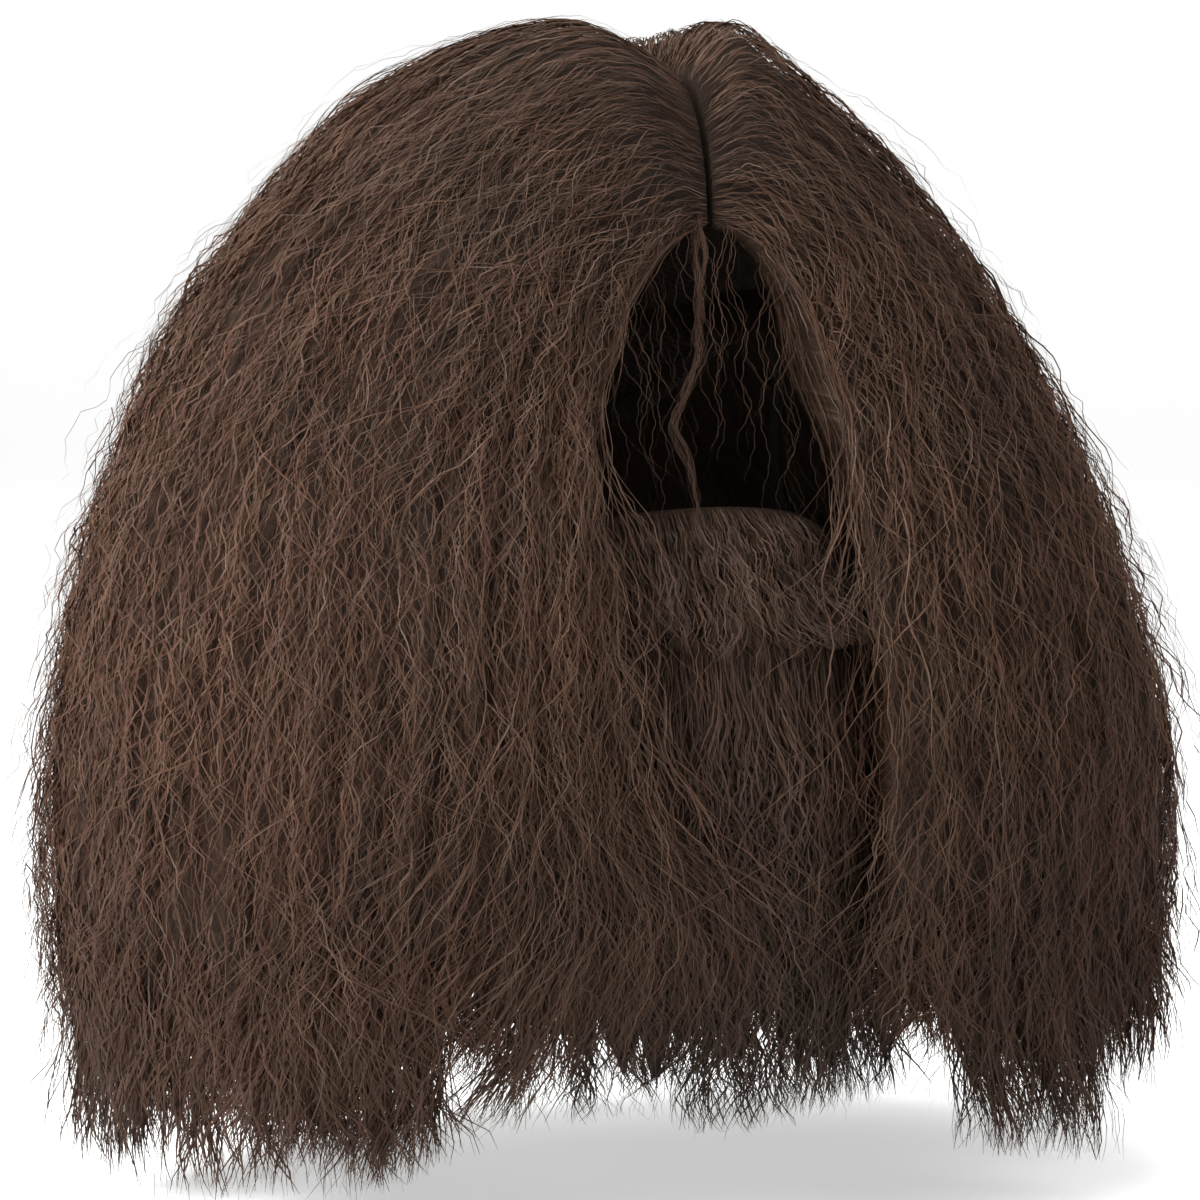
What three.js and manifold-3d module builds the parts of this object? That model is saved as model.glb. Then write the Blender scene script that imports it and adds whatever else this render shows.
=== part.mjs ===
// A shaggy, frizzy wig with a full beard, worn together. A hollow cap sits on the head and carries
// five masses of hair that meet at a parting. A cloth panel in front of the jaw carries the beard
// in two tiers, and two short bands tie the panel to the cap.
// Millimetres, +Z up, the face looks along -Y, +X is the wearer's left. The origin is the point
// inside the cap where the crown of the head touches it.
import * as THREE from "three";
import Module from "manifold-3d";

const wasm = await Module();
wasm.setup();

// The head that the cap is made for.
const HEAD_HALF_WIDTH = 78;
const HEAD_FRONT = 95;
const HEAD_BACK = 98;
const HEAD_CROWN_TO_EQUATOR = 95;
const HEAD_ROUNDNESS = 2.6;

// The cap and the ribbon inside its rim.
const CAP_WALL = 1.6;
const BAND_WALL = 1.2;
const BAND_HEIGHT = 11;
const CAP_RIM_DROP = 152;
const CAP_AROUND = 36;
const CAP_ROWS = 8;
const ROOM_AROUND = 48;
const ROOM_ROWS = 9;

// The hair's reach from the crown's axis, its height over the crown and its length below it.
const HAIR_RIGHT = 250;
const HAIR_LEFT = 268;
const HAIR_FRONT = 154;
const HAIR_BACK = 192;
const HAIR_RISE = 44;
const HAIR_DROP = 452;
const HAIR_ROUNDNESS = 2.2;
const HAIR_ROWS = 13;
const PARTING_SHIFT = 22;
const PARTING_RUN = 112;
const PARTING_END = 0.3;

// The locks that the hair is combed into.
const LOCK_DEPTH = 13;
const LOCK_LEAST_DEPTH = 0.55;
const LOCK_FULL_AT = 0.5;
const LOCK_TAPER_AT = 0.75;
const LOCK_TAPER = 0.5;
const LOCK_SWAY = 9;
const LOCK_WAVES = 2.4;
const LOCK_NOTCH = 0.085;
const LOCK_UNEVEN = 0.05;
const LOCK_COLUMNS = 4;
const INNER_NOTCHES = 1.3;

// The beard, its cloth panel and the bands that hold it.
const BEARD_HALF_WIDTH = 60;
const BEARD_THICKNESS = 44;
const BEARD_TOP = 167;
const BEARD_TOP_DIP = 8;
const BEARD_BOTTOM = 418;
const BEARD_ROUNDING = 34;
const BEARD_CORNER = 0.2;
const BEARD_LOCKS = 8;
const BEARD_LOCK_DEPTH = 4.5;
const BEARD_LOCK_SPREAD = 0.6;
const BEARD_NOTCH = 36;
const BEARD_ROWS = 10;
const BEARD_HELD_ABOVE = 4;
const BEARD_FREE_BELOW = 50;
const MOUSTACHE_HEIGHT = 50;
const MOUSTACHE_NOTCH = 7;
const MOUSTACHE_ROWS = 4;
const TIER_GAP = 3;
const TIER_UNEVEN = 0.6;
const PANEL_WALL = 1.6;
const PANEL_TUCK = 2;
const PANEL_STAND_OFF = 9;
const PANEL_HEIGHT = 86;
const PANEL_WRAP = 104;
const PANEL_NARROWING = 0.12;
const PANEL_SET_BACK = 0.05;
const PANEL_SIDE_RISE = 0.55;
const PANEL_COLUMNS = 20;
const PANEL_ROWS = 4;
const STRAP_WIDTH = 12;
const STRAP_WALL = 1.4;
const STRAP_LAP = 13;
const STRAP_PLACE = 84;
const STRAP_LEAVES_CAP = 0.25;
const STRAP_ROWS = 6;

// The forelock.
const FORELOCK_RADIUS = 3.1;
const FORELOCK_LENGTH = 132;
const FORELOCK_FLATNESS = 0.7;
const FORELOCK_SIDES = 6;
const FORELOCK_STEPS = 4;
const FORELOCK_ROOT = 0.03;
const FORELOCK_ROOT_DEPTH = 0.45;

// Room between pieces that touch.
const SEAT_GAP = 0.4;
const SEAT_SINK = 2;
const ROOM_DEPTH = 20;
const SEAM_GAP = 0.6;

const HAIR_HEIGHT = HAIR_RISE + HAIR_DROP;
const PANEL_HALF_WIDTH = HEAD_HALF_WIDTH - PANEL_TUCK;
const PANEL_FRONT = HEAD_FRONT + PANEL_STAND_OFF;
const DEGREES = Math.PI / 180;

// The hair's outer form, a row for each level from the parting to the tips. at is the share of a
// strand's length. right, left and back are shares of HAIR_RIGHT, HAIR_LEFT and HAIR_BACK, and the
// fall columns are shares of HAIR_HEIGHT below the top. edgeRight and edgeLeft are where the hair
// ends beside the face, and edgeFront how far forward that edge lies. The thick columns say how
// thick the hair is where it hangs below the cap, as shares of HAIR_BACK.
const HAIR_LEVELS = [
  { at: 0, right: 0.007, left: 0.007, back: 0.094, sideY: -0.13,
    fallSide: 0.045, fallEdge: 0.181, fallBack: 0.036,
    edgeRight: 0.005, edgeLeft: 0.006, edgeFront: 0.617, thickSide: 0.5, thickEdge: 0.06, thickBack: 0.5 },
  { at: 0.09, right: 0.17, left: 0.12, back: 0.34, sideY: -0.1,
    fallSide: 0.003, fallEdge: 0.188, fallBack: 0.025,
    edgeRight: 0.054, edgeLeft: 0.052, edgeFront: 0.636, thickSide: 0.5, thickEdge: 0.07, thickBack: 0.5 },
  { at: 0.19, right: 0.37, left: 0.26, back: 0.62, sideY: -0.02,
    fallSide: 0.043, fallEdge: 0.213, fallBack: 0.088,
    edgeRight: 0.125, edgeLeft: 0.107, edgeFront: 0.669, thickSide: 0.5, thickEdge: 0.09, thickBack: 0.5 },
  { at: 0.294, right: 0.57, left: 0.46, back: 0.8, sideY: 0.04,
    fallSide: 0.134, fallEdge: 0.265, fallBack: 0.19,
    edgeRight: 0.205, edgeLeft: 0.163, edgeFront: 0.714, thickSide: 0.5, thickEdge: 0.11, thickBack: 0.48 },
  { at: 0.432, right: 0.78, left: 0.685, back: 0.9, sideY: 0.07,
    fallSide: 0.283, fallEdge: 0.36, fallBack: 0.33,
    edgeRight: 0.27, edgeLeft: 0.207, edgeFront: 0.779, thickSide: 0.6, thickEdge: 0.14, thickBack: 0.36 },
  { at: 0.574, right: 0.915, left: 0.85, back: 0.95, sideY: 0.08,
    fallSide: 0.453, fallEdge: 0.497, fallBack: 0.49,
    edgeRight: 0.31, edgeLeft: 0.235, edgeFront: 0.909, thickSide: 0.46, thickEdge: 0.15, thickBack: 0.3 },
  { at: 0.731, right: 1, left: 0.965, back: 0.985, sideY: 0.08,
    fallSide: 0.65, fallEdge: 0.66, fallBack: 0.668,
    edgeRight: 0.32, edgeLeft: 0.235, edgeFront: 0.987, thickSide: 0.32, thickEdge: 0.16, thickBack: 0.24 },
  { at: 0.871, right: 0.985, left: 0.95, back: 0.979, sideY: 0.08,
    fallSide: 0.83, fallEdge: 0.81, fallBack: 0.85,
    edgeRight: 0.35, edgeLeft: 0.23, edgeFront: 0.99, thickSide: 0.22, thickEdge: 0.14, thickBack: 0.18 },
  { at: 1, right: 0.94, left: 0.93, back: 0.938, sideY: 0.08,
    fallSide: 1, fallEdge: 0.95, fallBack: 1,
    edgeRight: 0.5, edgeLeft: 0.24, edgeFront: 0.961, thickSide: 0.13, thickEdge: 0.1, thickBack: 0.12 },
];

// The hair keeps to the cap down to the first share of a strand and hangs free from the second.
const SEATED_UNTIL = 0.33;
const FREE_FROM = 0.5;

// The masses of hair, each with the stretch that it takes of the way round from the right edge of
// the face, past the back, to the left edge, and the number of locks in it.
const HAIR_SECTORS = [
  { name: "hair_front_right", from: 0, to: 0.14, locks: 7, color: "#3a2b24" },
  { name: "hair_side_right", from: 0.14, to: 0.37, locks: 10, color: "#40302a" },
  { name: "hair_back", from: 0.37, to: 0.63, locks: 12, color: "#382a24" },
  { name: "hair_side_left", from: 0.63, to: 0.86, locks: 10, color: "#3d2d27" },
  { name: "hair_front_left", from: 0.86, to: 1, locks: 7, color: "#37281f" },
];

// The cap's rim, as shares of CAP_RIM_DROP below the crown, by the angle from the face.
const RIM_LEVELS = [
  { at: 0, drop: 0.21 },
  { at: 28, drop: 0.27 },
  { at: 52, drop: 0.46 },
  { at: 70, drop: 0.69 },
  { at: 88, drop: 0.7 },
  { at: 112, drop: 0.66 },
  { at: 145, drop: 0.88 },
  { at: 180, drop: 1 },
];

// The beard's outer form. at is the share of its height below the top edge, half the share of
// BEARD_HALF_WIDTH, and front how far it stands out in front of the cloth panel, as a share of
// BEARD_THICKNESS. thick says how thick the hair is below the panel, as a share of the same.
const BEARD_LEVELS = [
  { at: 0, half: 0.98, front: 0.065, thick: 0.067 },
  { at: 0.07, half: 1.02, front: 0.36, thick: 0.27 },
  { at: 0.18, half: 1.04, front: 0.664, thick: 0.5 },
  { at: 0.34, half: 1.06, front: 0.9, thick: 0.81 },
  { at: 0.52, half: 1.1, front: 1, thick: 0.84 },
  { at: 0.7, half: 1.13, front: 0.95, thick: 0.74 },
  { at: 0.87, half: 1.12, front: 0.815, thick: 0.57 },
  { at: 1, half: 1.04, front: 0.664, thick: 0.37 },
];

// The beard's two tiers: where each begins and ends below the crown, the rows of its surface, and
// how deep the notches between its locks are.
const BEARD_TIERS = [
  { name: "moustache", top: BEARD_TOP, bottom: BEARD_TOP + MOUSTACHE_HEIGHT,
    rows: MOUSTACHE_ROWS, notch: MOUSTACHE_NOTCH, color: "#2b1f19" },
  { name: "beard_hair", top: BEARD_TOP + MOUSTACHE_HEIGHT + TIER_GAP, bottom: BEARD_BOTTOM,
    rows: BEARD_ROWS, notch: BEARD_NOTCH, color: "#35271f" },
];

// The forelock's way down over the face: across as a share of HEAD_HALF_WIDTH, down as a share of
// FORELOCK_LENGTH and out as a share of HEAD_FRONT, all from its root, and size as a share of
// FORELOCK_RADIUS.
const FORELOCK_WAY = [
  { across: 0, down: 0, out: 0, size: 0.8 },
  { across: -0.034, down: 0.09, out: 0.05, size: 1 },
  { across: -0.063, down: 0.2, out: 0.09, size: 0.95 },
  { across: -0.065, down: 0.41, out: 0.12, size: 0.9 },
  { across: -0.139, down: 0.53, out: 0.15, size: 0.9 },
  { across: -0.246, down: 0.63, out: 0.18, size: 0.85 },
  { across: -0.189, down: 0.8, out: 0.26, size: 0.65 },
  { across: -0.199, down: 1, out: 0.36, size: 0.3 },
];

// A column of a table at a place between its rows, along a smooth curve through them.
function along(table, column, at) {
  const last = table.length - 2;
  let i = 0;
  while (i < last && at > table[i + 1].at) i += 1;
  const slope = (a, b) => (table[b][column] - table[a][column]) / (table[b].at - table[a].at);
  const start = slope(Math.max(i - 1, 0), i + 1);
  const end = slope(i, Math.min(i + 2, last + 1));
  const run = table[i + 1].at - table[i].at;
  const s = THREE.MathUtils.clamp((at - table[i].at) / run, 0, 1);
  const keep = 1 + s * s * (2 * s - 3);
  return (
    keep * table[i][column] +
    (1 - keep) * table[i + 1][column] +
    run * s * (1 - s) * ((1 - s) * start - s * end)
  );
}

// A number from 0 to 1 that looks random, the same each time for the same key.
function chance(key) {
  const wave = Math.sin(key * 12.9898 + 4.137) * 43758.5453;
  return wave - Math.floor(wave);
}

// A closed surface as numbered points and triangles, facing out.
function closedSurface(points, triangles) {
  let volume = 0;
  for (let i = 0; i < triangles.length; i += 3) {
    const [a, b, c] = triangles.slice(i, i + 3).map((k) => points[k]);
    volume += a.dot(b.clone().cross(c));
  }
  return {
    positions: Float32Array.from(points.flatMap((p) => p.toArray())),
    faces: Uint32Array.from(volume < 0 ? [...triangles].reverse() : triangles),
  };
}

// A named mesh with its own material.
function meshOf(name, { positions, faces }, color, roughness = 0.9) {
  const geometry = new THREE.BufferGeometry();
  geometry.setAttribute("position", new THREE.BufferAttribute(positions, 3));
  geometry.setIndex(new THREE.BufferAttribute(faces, 1));
  geometry.computeVertexNormals();
  const mesh = new THREE.Mesh(geometry, new THREE.MeshStandardMaterial({ color, roughness, metalness: 0 }));
  mesh.name = name;
  return mesh;
}

// A closed surface as a solid that can be cut.
function solidOf({ positions, faces }) {
  return new wasm.Manifold(new wasm.Mesh({ numProp: 3, vertProperties: positions, triVerts: faces }));
}

// A closed surface with the room that other pieces take cut out of it.
function clearOf(surface, rooms) {
  const left = rooms.reduce((solid, room) => solid.subtract(room), solidOf(surface)).getMesh();
  return { positions: left.vertProperties, faces: left.triVerts };
}

// The points of a grid, a row at a time, from a function of the share across and the share down.
function gridOf(columns, rows, place) {
  return Array.from({ length: rows + 1 }, (_, row) =>
    Array.from({ length: columns + 1 }, (_, column) => place(column / columns, row / rows, column, row)),
  );
}

// The four edges of a grid, each as its points with their shares along it. The way round the grid
// runs against two of them, which are turned.
function bordersOf(index) {
  const edge = (line, turned) => ({ line, turned });
  return [
    edge(index[0], false),
    edge(index.map((row) => row.at(-1)), false),
    edge(index.at(-1), true),
    edge(index.map((row) => row[0]), true),
  ];
}

// A closed wall between an outer and an inner grid, which may have different numbers of points.
function wallBetween(outer, inner) {
  const points = [];
  const triangles = [];
  const number = (grid) => grid.map((row) => row.map((p) => points.push(p) - 1));
  const outerIndex = number(outer);
  const innerIndex = number(inner);
  const face = (index, flip) => {
    for (let i = 0; i + 1 < index.length; i += 1)
      for (let j = 0; j + 1 < index[0].length; j += 1) {
        const [a, b, c, d] = [index[i][j], index[i][j + 1], index[i + 1][j + 1], index[i + 1][j]];
        triangles.push(...(flip ? [a, c, b, a, d, c] : [a, b, c, a, c, d]));
      }
  };
  face(outerIndex, false);
  face(innerIndex, true);
  const far = bordersOf(innerIndex);
  bordersOf(outerIndex).forEach(({ line, turned }, side) => {
    const other = far[side].line;
    const push = (a, b, c) => triangles.push(...(turned ? [a, b, c] : [a, c, b]));
    let k = 0;
    let m = 0;
    while (k + 1 < line.length || m + 1 < other.length) {
      if ((k + 1) / (line.length - 1) <= (m + 1) / (other.length - 1)) {
        push(line[k], line[k + 1], other[m]);
        k += 1;
      } else {
        push(line[k], other[m + 1], other[m]);
        m += 1;
      }
    }
  });
  return closedSurface(points, triangles);
}

// A closed loop of sections, each a list of corners, such as a band round a rim.
function loopOf(sections) {
  const corners = sections[0].length;
  const triangles = [];
  sections.forEach((_, i) => {
    const next = ((i + 1) % sections.length) * corners;
    for (let j = 0; j < corners; j += 1) {
      const turn = (j + 1) % corners;
      const [a, b, c, d] = [i * corners + j, i * corners + turn, next + turn, next + j];
      triangles.push(a, b, c, a, c, d);
    }
  });
  return closedSurface(sections.flat(), triangles);
}

// How far down the cap's rim lies at an angle from the face, in millimetres below the crown.
function rimDrop(angle) {
  const degrees = Math.abs(THREE.MathUtils.euclideanModulo(angle / DEGREES + 180, 360) - 180);
  return CAP_RIM_DROP * along(RIM_LEVELS, "drop", degrees);
}

// A point of the head's surface, pushed out by a distance: angle goes round from the face towards
// the wearer's right, and drop is how far it lies below the crown.
function headPoint(angle, drop, out) {
  const height = HEAD_CROWN_TO_EQUATOR + out;
  const level = THREE.MathUtils.clamp((HEAD_CROWN_TO_EQUATOR - drop) / height, -1, 1);
  const wide = (1 - Math.abs(level) ** HEAD_ROUNDNESS) ** (1 / HEAD_ROUNDNESS);
  const reach = Math.cos(angle) > 0 ? HEAD_FRONT : HEAD_BACK;
  return new THREE.Vector3(
    -(HEAD_HALF_WIDTH + out) * wide * Math.sin(angle),
    -(reach + out) * wide * Math.cos(angle),
    -drop,
  );
}

// The point of the head's surface, pushed out by a distance, that lies on the line from the head's
// centre to a point outside it.
function ontoHead(point, out) {
  const reach = (point.y < 0 ? HEAD_FRONT : HEAD_BACK) + out;
  const rise = point.z + HEAD_CROWN_TO_EQUATOR;
  const flat = Math.hypot(point.x / (HEAD_HALF_WIDTH + out), point.y / reach);
  const tall = Math.abs(rise / (HEAD_CROWN_TO_EQUATOR + out));
  const size = (flat ** HEAD_ROUNDNESS + tall ** HEAD_ROUNDNESS) ** (1 / HEAD_ROUNDNESS);
  return new THREE.Vector3(point.x / size, point.y / size, rise / size - HEAD_CROWN_TO_EQUATOR);
}

// The cap: an outer and an inner dome that meet at the rim.
function makeCap() {
  const points = [];
  const triangles = [];
  const dome = (out) => {
    const pole = points.push(new THREE.Vector3(0, 0, out)) - 1;
    const rings = [];
    for (let row = 1; row <= CAP_ROWS; row += 1) {
      rings.push(
        Array.from({ length: CAP_AROUND }, (_, i) => {
          const angle = (2 * Math.PI * i) / CAP_AROUND;
          const full = HEAD_CROWN_TO_EQUATOR + out;
          const end = rimDrop(angle) - (row < CAP_ROWS ? BAND_HEIGHT + SEAT_GAP : 0);
          const turn = Math.acos(THREE.MathUtils.clamp(1 - (end + out) / full, -1, 1));
          const share = Math.min(row / (CAP_ROWS - 1), 1);
          const drop = full * (1 - Math.cos(turn * share)) - out;
          return points.push(headPoint(angle, drop, out)) - 1;
        }),
      );
    }
    return { pole, rings };
  };
  const skin = ({ pole, rings }, flip) => {
    const push = (a, b, c) => triangles.push(...(flip ? [a, c, b] : [a, b, c]));
    for (let i = 0; i < CAP_AROUND; i += 1) {
      const next = (i + 1) % CAP_AROUND;
      push(pole, rings[0][i], rings[0][next]);
      for (let row = 0; row + 1 < CAP_ROWS; row += 1) {
        push(rings[row][i], rings[row + 1][i], rings[row + 1][next]);
        push(rings[row][i], rings[row + 1][next], rings[row][next]);
      }
    }
  };
  const outer = dome(CAP_WALL);
  const inner = dome(0);
  skin(outer, false);
  skin(inner, true);
  const [low, high] = [outer.rings.at(-1), inner.rings.at(-1)];
  for (let i = 0; i < CAP_AROUND; i += 1) {
    const next = (i + 1) % CAP_AROUND;
    triangles.push(low[i], high[i], high[next], low[i], high[next], low[next]);
  }
  return meshOf("cap", closedSurface(points, triangles), "#241b18");
}

// The room that the head and the cap on it take up, which the hair is kept out of. It goes down
// as far as the hair keeps to the head.
function headRoom() {
  const out = CAP_WALL + 2 * SEAT_GAP;
  const points = [new THREE.Vector3(0, 0, out)];
  const triangles = [];
  const ring = (row, i) => 1 + row * ROOM_AROUND + (i % ROOM_AROUND);
  for (let row = 0; row <= ROOM_ROWS; row += 1)
    for (let i = 0; i < ROOM_AROUND; i += 1) {
      const full = HEAD_CROWN_TO_EQUATOR + out;
      const turn = (Math.min(row + 1, ROOM_ROWS) / ROOM_ROWS) * 90 * DEGREES;
      const point = headPoint((2 * Math.PI * i) / ROOM_AROUND, full * (1 - Math.cos(turn)) - out, out);
      points.push(row < ROOM_ROWS ? point : point.setZ(-HEAD_CROWN_TO_EQUATOR - CAP_RIM_DROP));
    }
  const floor = points.push(new THREE.Vector3(0, 0, -HEAD_CROWN_TO_EQUATOR - CAP_RIM_DROP)) - 1;
  for (let i = 0; i < ROOM_AROUND; i += 1) {
    triangles.push(0, ring(0, i), ring(0, i + 1));
    for (let row = 0; row < ROOM_ROWS; row += 1) {
      triangles.push(ring(row, i), ring(row + 1, i), ring(row + 1, i + 1));
      triangles.push(ring(row, i), ring(row + 1, i + 1), ring(row, i + 1));
    }
    triangles.push(ring(ROOM_ROWS, i), floor, ring(ROOM_ROWS, i + 1));
  }
  return solidOf(closedSurface(points, triangles));
}

// The ribbon round the inside of the cap's rim.
function makeCapBand() {
  const sections = Array.from({ length: CAP_AROUND }, (_, i) => {
    const angle = (2 * Math.PI * i) / CAP_AROUND;
    const low = rimDrop(angle) - SEAT_GAP;
    const place = (drop, out) => headPoint(angle, drop, out);
    return [
      place(low - BAND_HEIGHT, -SEAT_GAP),
      place(low, -SEAT_GAP),
      place(low, -SEAT_GAP - BAND_WALL),
      place(low - BAND_HEIGHT, -SEAT_GAP - BAND_WALL),
    ];
  });
  return meshOf("cap_band", loopOf(sections), "#1d1614");
}

// A point of the hair's smooth outer or inner form. round goes from 0 at the right edge of the
// face, past the back, to 1 at the left edge, and at is the share of a strand's length.
function hairPoint(round, at, inner) {
  const right = round <= 0.5;
  const way = right ? round : 1 - round;
  const level = (column) => along(HAIR_LEVELS, column, at);
  const thin = (column) => (inner ? HAIR_BACK * level(column) : 0);
  const side = (right ? HAIR_RIGHT * level("right") : HAIR_LEFT * level("left")) - thin("thickSide");
  const edge = right ? HAIR_RIGHT * level("edgeRight") : HAIR_LEFT * level("edgeLeft");
  const sideY = HAIR_BACK * level("sideY");
  const bend = 2 / HAIR_ROUNDNESS;
  const turn = Math.min(way / 0.25, 2) * 90 * DEGREES;
  const quarter = turn <= 90 * DEGREES ? turn : turn - 90 * DEGREES;
  const [rise, run] = [Math.sin(quarter), Math.cos(quarter)].map((v) => Math.max(v, 0));
  let x;
  let y;
  let fall;
  if (turn <= 90 * DEGREES) {
    const front = -(HAIR_FRONT * level("edgeFront") - thin("thickEdge"));
    x = edge + (side - edge) * rise ** bend;
    y = sideY - (sideY - front) * run ** bend;
    fall = level("fallSide") + (level("fallEdge") - level("fallSide")) * (1 - rise);
  } else {
    const back = HAIR_BACK * level("back") - thin("thickBack");
    x = side * run ** bend;
    y = sideY + (back - sideY) * rise ** bend;
    fall = level("fallSide") + (level("fallBack") - level("fallSide")) * (1 - run);
  }
  const drift = Math.max(1 - at / PARTING_END, 0) ** 2;
  const alongPart = THREE.MathUtils.clamp((y + HEAD_FRONT) / PARTING_RUN, 0, 1);
  return new THREE.Vector3(
    (right ? -x : x) + PARTING_SHIFT * drift * alongPart,
    y,
    HAIR_RISE - HAIR_HEIGHT * fall,
  );
}

// The inner face of the hair: it sinks just under the cap's surface, whose room is then cut out of
// it, and hangs free below the cap.
function hairInnerPoint(round, at) {
  const seated = ontoHead(hairPoint(round, at, false), -SEAT_SINK);
  const free = THREE.MathUtils.smoothstep(at, SEATED_UNTIL, FREE_FROM);
  return seated.lerp(hairPoint(round, at, true), free);
}

// The unit vectors along the way round and out of the hair at a point of its outer form.
function hairFrame(round, at) {
  const step = 0.002;
  const [a, b] = [Math.max(round - step, 0), Math.min(round + step, 1)];
  const across = hairPoint(b, at, false).sub(hairPoint(a, at, false)).normalize();
  const [high, low] = [Math.max(at - step, 0), Math.min(at + step, 1)];
  const down = hairPoint(round, low, false).sub(hairPoint(round, high, false)).normalize();
  return { across, out: down.clone().cross(across).normalize() };
}

// One mass of hair, combed into locks that end in points.
function makeHair({ name, from, to, locks, color }, sector, rooms) {
  const span = to - from;
  const columns = locks * LOCK_COLUMNS;
  const ease = (share) => THREE.MathUtils.smoothstep(share, 0, 1);
  const outer = gridOf(columns, HAIR_ROWS, (across, down, column) => {
    const lock = Math.floor(Math.min(column, columns - 1) / LOCK_COLUMNS);
    const ridge = Math.sin((Math.PI * (column % LOCK_COLUMNS)) / LOCK_COLUMNS);
    const key = sector * 31 + lock;
    const at = down * (1 - LOCK_NOTCH * (1 - ridge) - LOCK_UNEVEN * ridge * chance(key));
    const round = from + span * across;
    const inside = Math.sin(Math.PI * across);
    const { across: aside, out } = hairFrame(round, at);
    const full = THREE.MathUtils.lerp(LOCK_LEAST_DEPTH, 1, chance(key + 7));
    const taper = 1 - LOCK_TAPER * ease((at - LOCK_TAPER_AT) / (1 - LOCK_TAPER_AT));
    const depth = LOCK_DEPTH * full * ease(at / LOCK_FULL_AT) * taper;
    const wave = Math.sin(2 * Math.PI * (LOCK_WAVES * at + chance(key + 13) * 0.2));
    const sway = LOCK_SWAY * inside * ease(at) * wave;
    return hairPoint(round, at, false)
      .addScaledVector(out, depth * ridge)
      .addScaledVector(aside, sway);
  });
  const inner = gridOf(Math.max(Math.round(locks / 2), 4), HAIR_ROWS - 2, (across, down) =>
    hairInnerPoint(from + span * across, down * (1 - INNER_NOTCHES * LOCK_NOTCH)),
  );
  [outer, inner].forEach((grid) =>
    grid.forEach((row, i) => {
      const at = i / (grid.length - 1);
      const pull = (k, round, way) => row[k].addScaledVector(hairFrame(round, at).across, (way * SEAM_GAP) / 2);
      if (from > 0) pull(0, from, 1);
      if (to < 1) pull(row.length - 1, to, -1);
    }),
  );
  return meshOf(name, clearOf(wallBetween(outer, inner), rooms), color);
}

// A point in front of the jaw on the cloth panel's inner face, pushed out by a distance.
function panelPoint(angle, drop, out) {
  const low = Math.max((drop - BEARD_TOP) / PANEL_HEIGHT, 0);
  const half = PANEL_HALF_WIDTH * (1 - PANEL_NARROWING * low ** 2);
  const front = PANEL_FRONT * (1 - PANEL_SET_BACK * low ** 2);
  return new THREE.Vector3(-(half + out) * Math.sin(angle), -(front + out) * Math.cos(angle), -drop);
}

// The cloth panel's top and bottom edges, as drops below the crown at an angle from the face.
function panelEdges(angle) {
  const away = Math.abs(angle) / (PANEL_WRAP * DEGREES);
  const aside = Math.min((Math.sin(angle) * PANEL_HALF_WIDTH) / BEARD_HALF_WIDTH, 1);
  return {
    top: BEARD_TOP + BEARD_TOP_DIP * aside ** 2,
    bottom: BEARD_TOP + PANEL_HEIGHT * (1 - PANEL_SIDE_RISE * away ** 2),
  };
}

// The panel's surface at a distance out, grown past its top and bottom edges.
function panelLayer(out, grown) {
  return gridOf(PANEL_COLUMNS, PANEL_ROWS, (across, down) => {
    const angle = PANEL_WRAP * DEGREES * (1 - 2 * across);
    const { top, bottom } = panelEdges(angle);
    return panelPoint(angle, top - grown + (bottom - top + 2 * grown) * down, out);
  });
}

function makeBeardPanel() {
  return meshOf("beard_backing", wallBetween(panelLayer(PANEL_WALL, 0), panelLayer(0, 0)), "#2a1f1b");
}

// The room that the cloth panel takes up, which the beard is kept out of.
function panelRoom() {
  return solidOf(wallBetween(panelLayer(PANEL_WALL + SEAT_GAP, SEAT_GAP), panelLayer(-ROOM_DEPTH, SEAT_GAP)));
}

// The beard's smooth outer form. across goes from -1 on the wearer's right to 1 on the left.
function beardPoint(across, drop, inner) {
  const at = THREE.MathUtils.clamp((drop - BEARD_TOP) / (BEARD_BOTTOM - BEARD_TOP), 0, 1);
  const half = BEARD_HALF_WIDTH * along(BEARD_LEVELS, "half", at);
  const thick = inner ? BEARD_THICKNESS * along(BEARD_LEVELS, "thick", at) : 0;
  const front = PANEL_FRONT + BEARD_THICKNESS * along(BEARD_LEVELS, "front", at) - thick;
  const back = BEARD_ROUNDING * across ** 2 * (1 + BEARD_CORNER * across ** 2);
  return new THREE.Vector3(half * across, back - front, -drop);
}

// The inner face of a tier: on the panel where there is panel, and free below it.
function beardInnerPoint(across, drop) {
  const angle = -Math.asin(THREE.MathUtils.clamp((BEARD_HALF_WIDTH * across) / PANEL_HALF_WIDTH, -1, 1));
  const seated = panelPoint(angle, drop, PANEL_WALL - SEAT_SINK);
  const low = BEARD_TOP + PANEL_HEIGHT;
  const free = THREE.MathUtils.smoothstep(drop, low - BEARD_HELD_ABOVE, low + BEARD_FREE_BELOW);
  return seated.lerp(beardPoint(across, drop, true), free);
}

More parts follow.
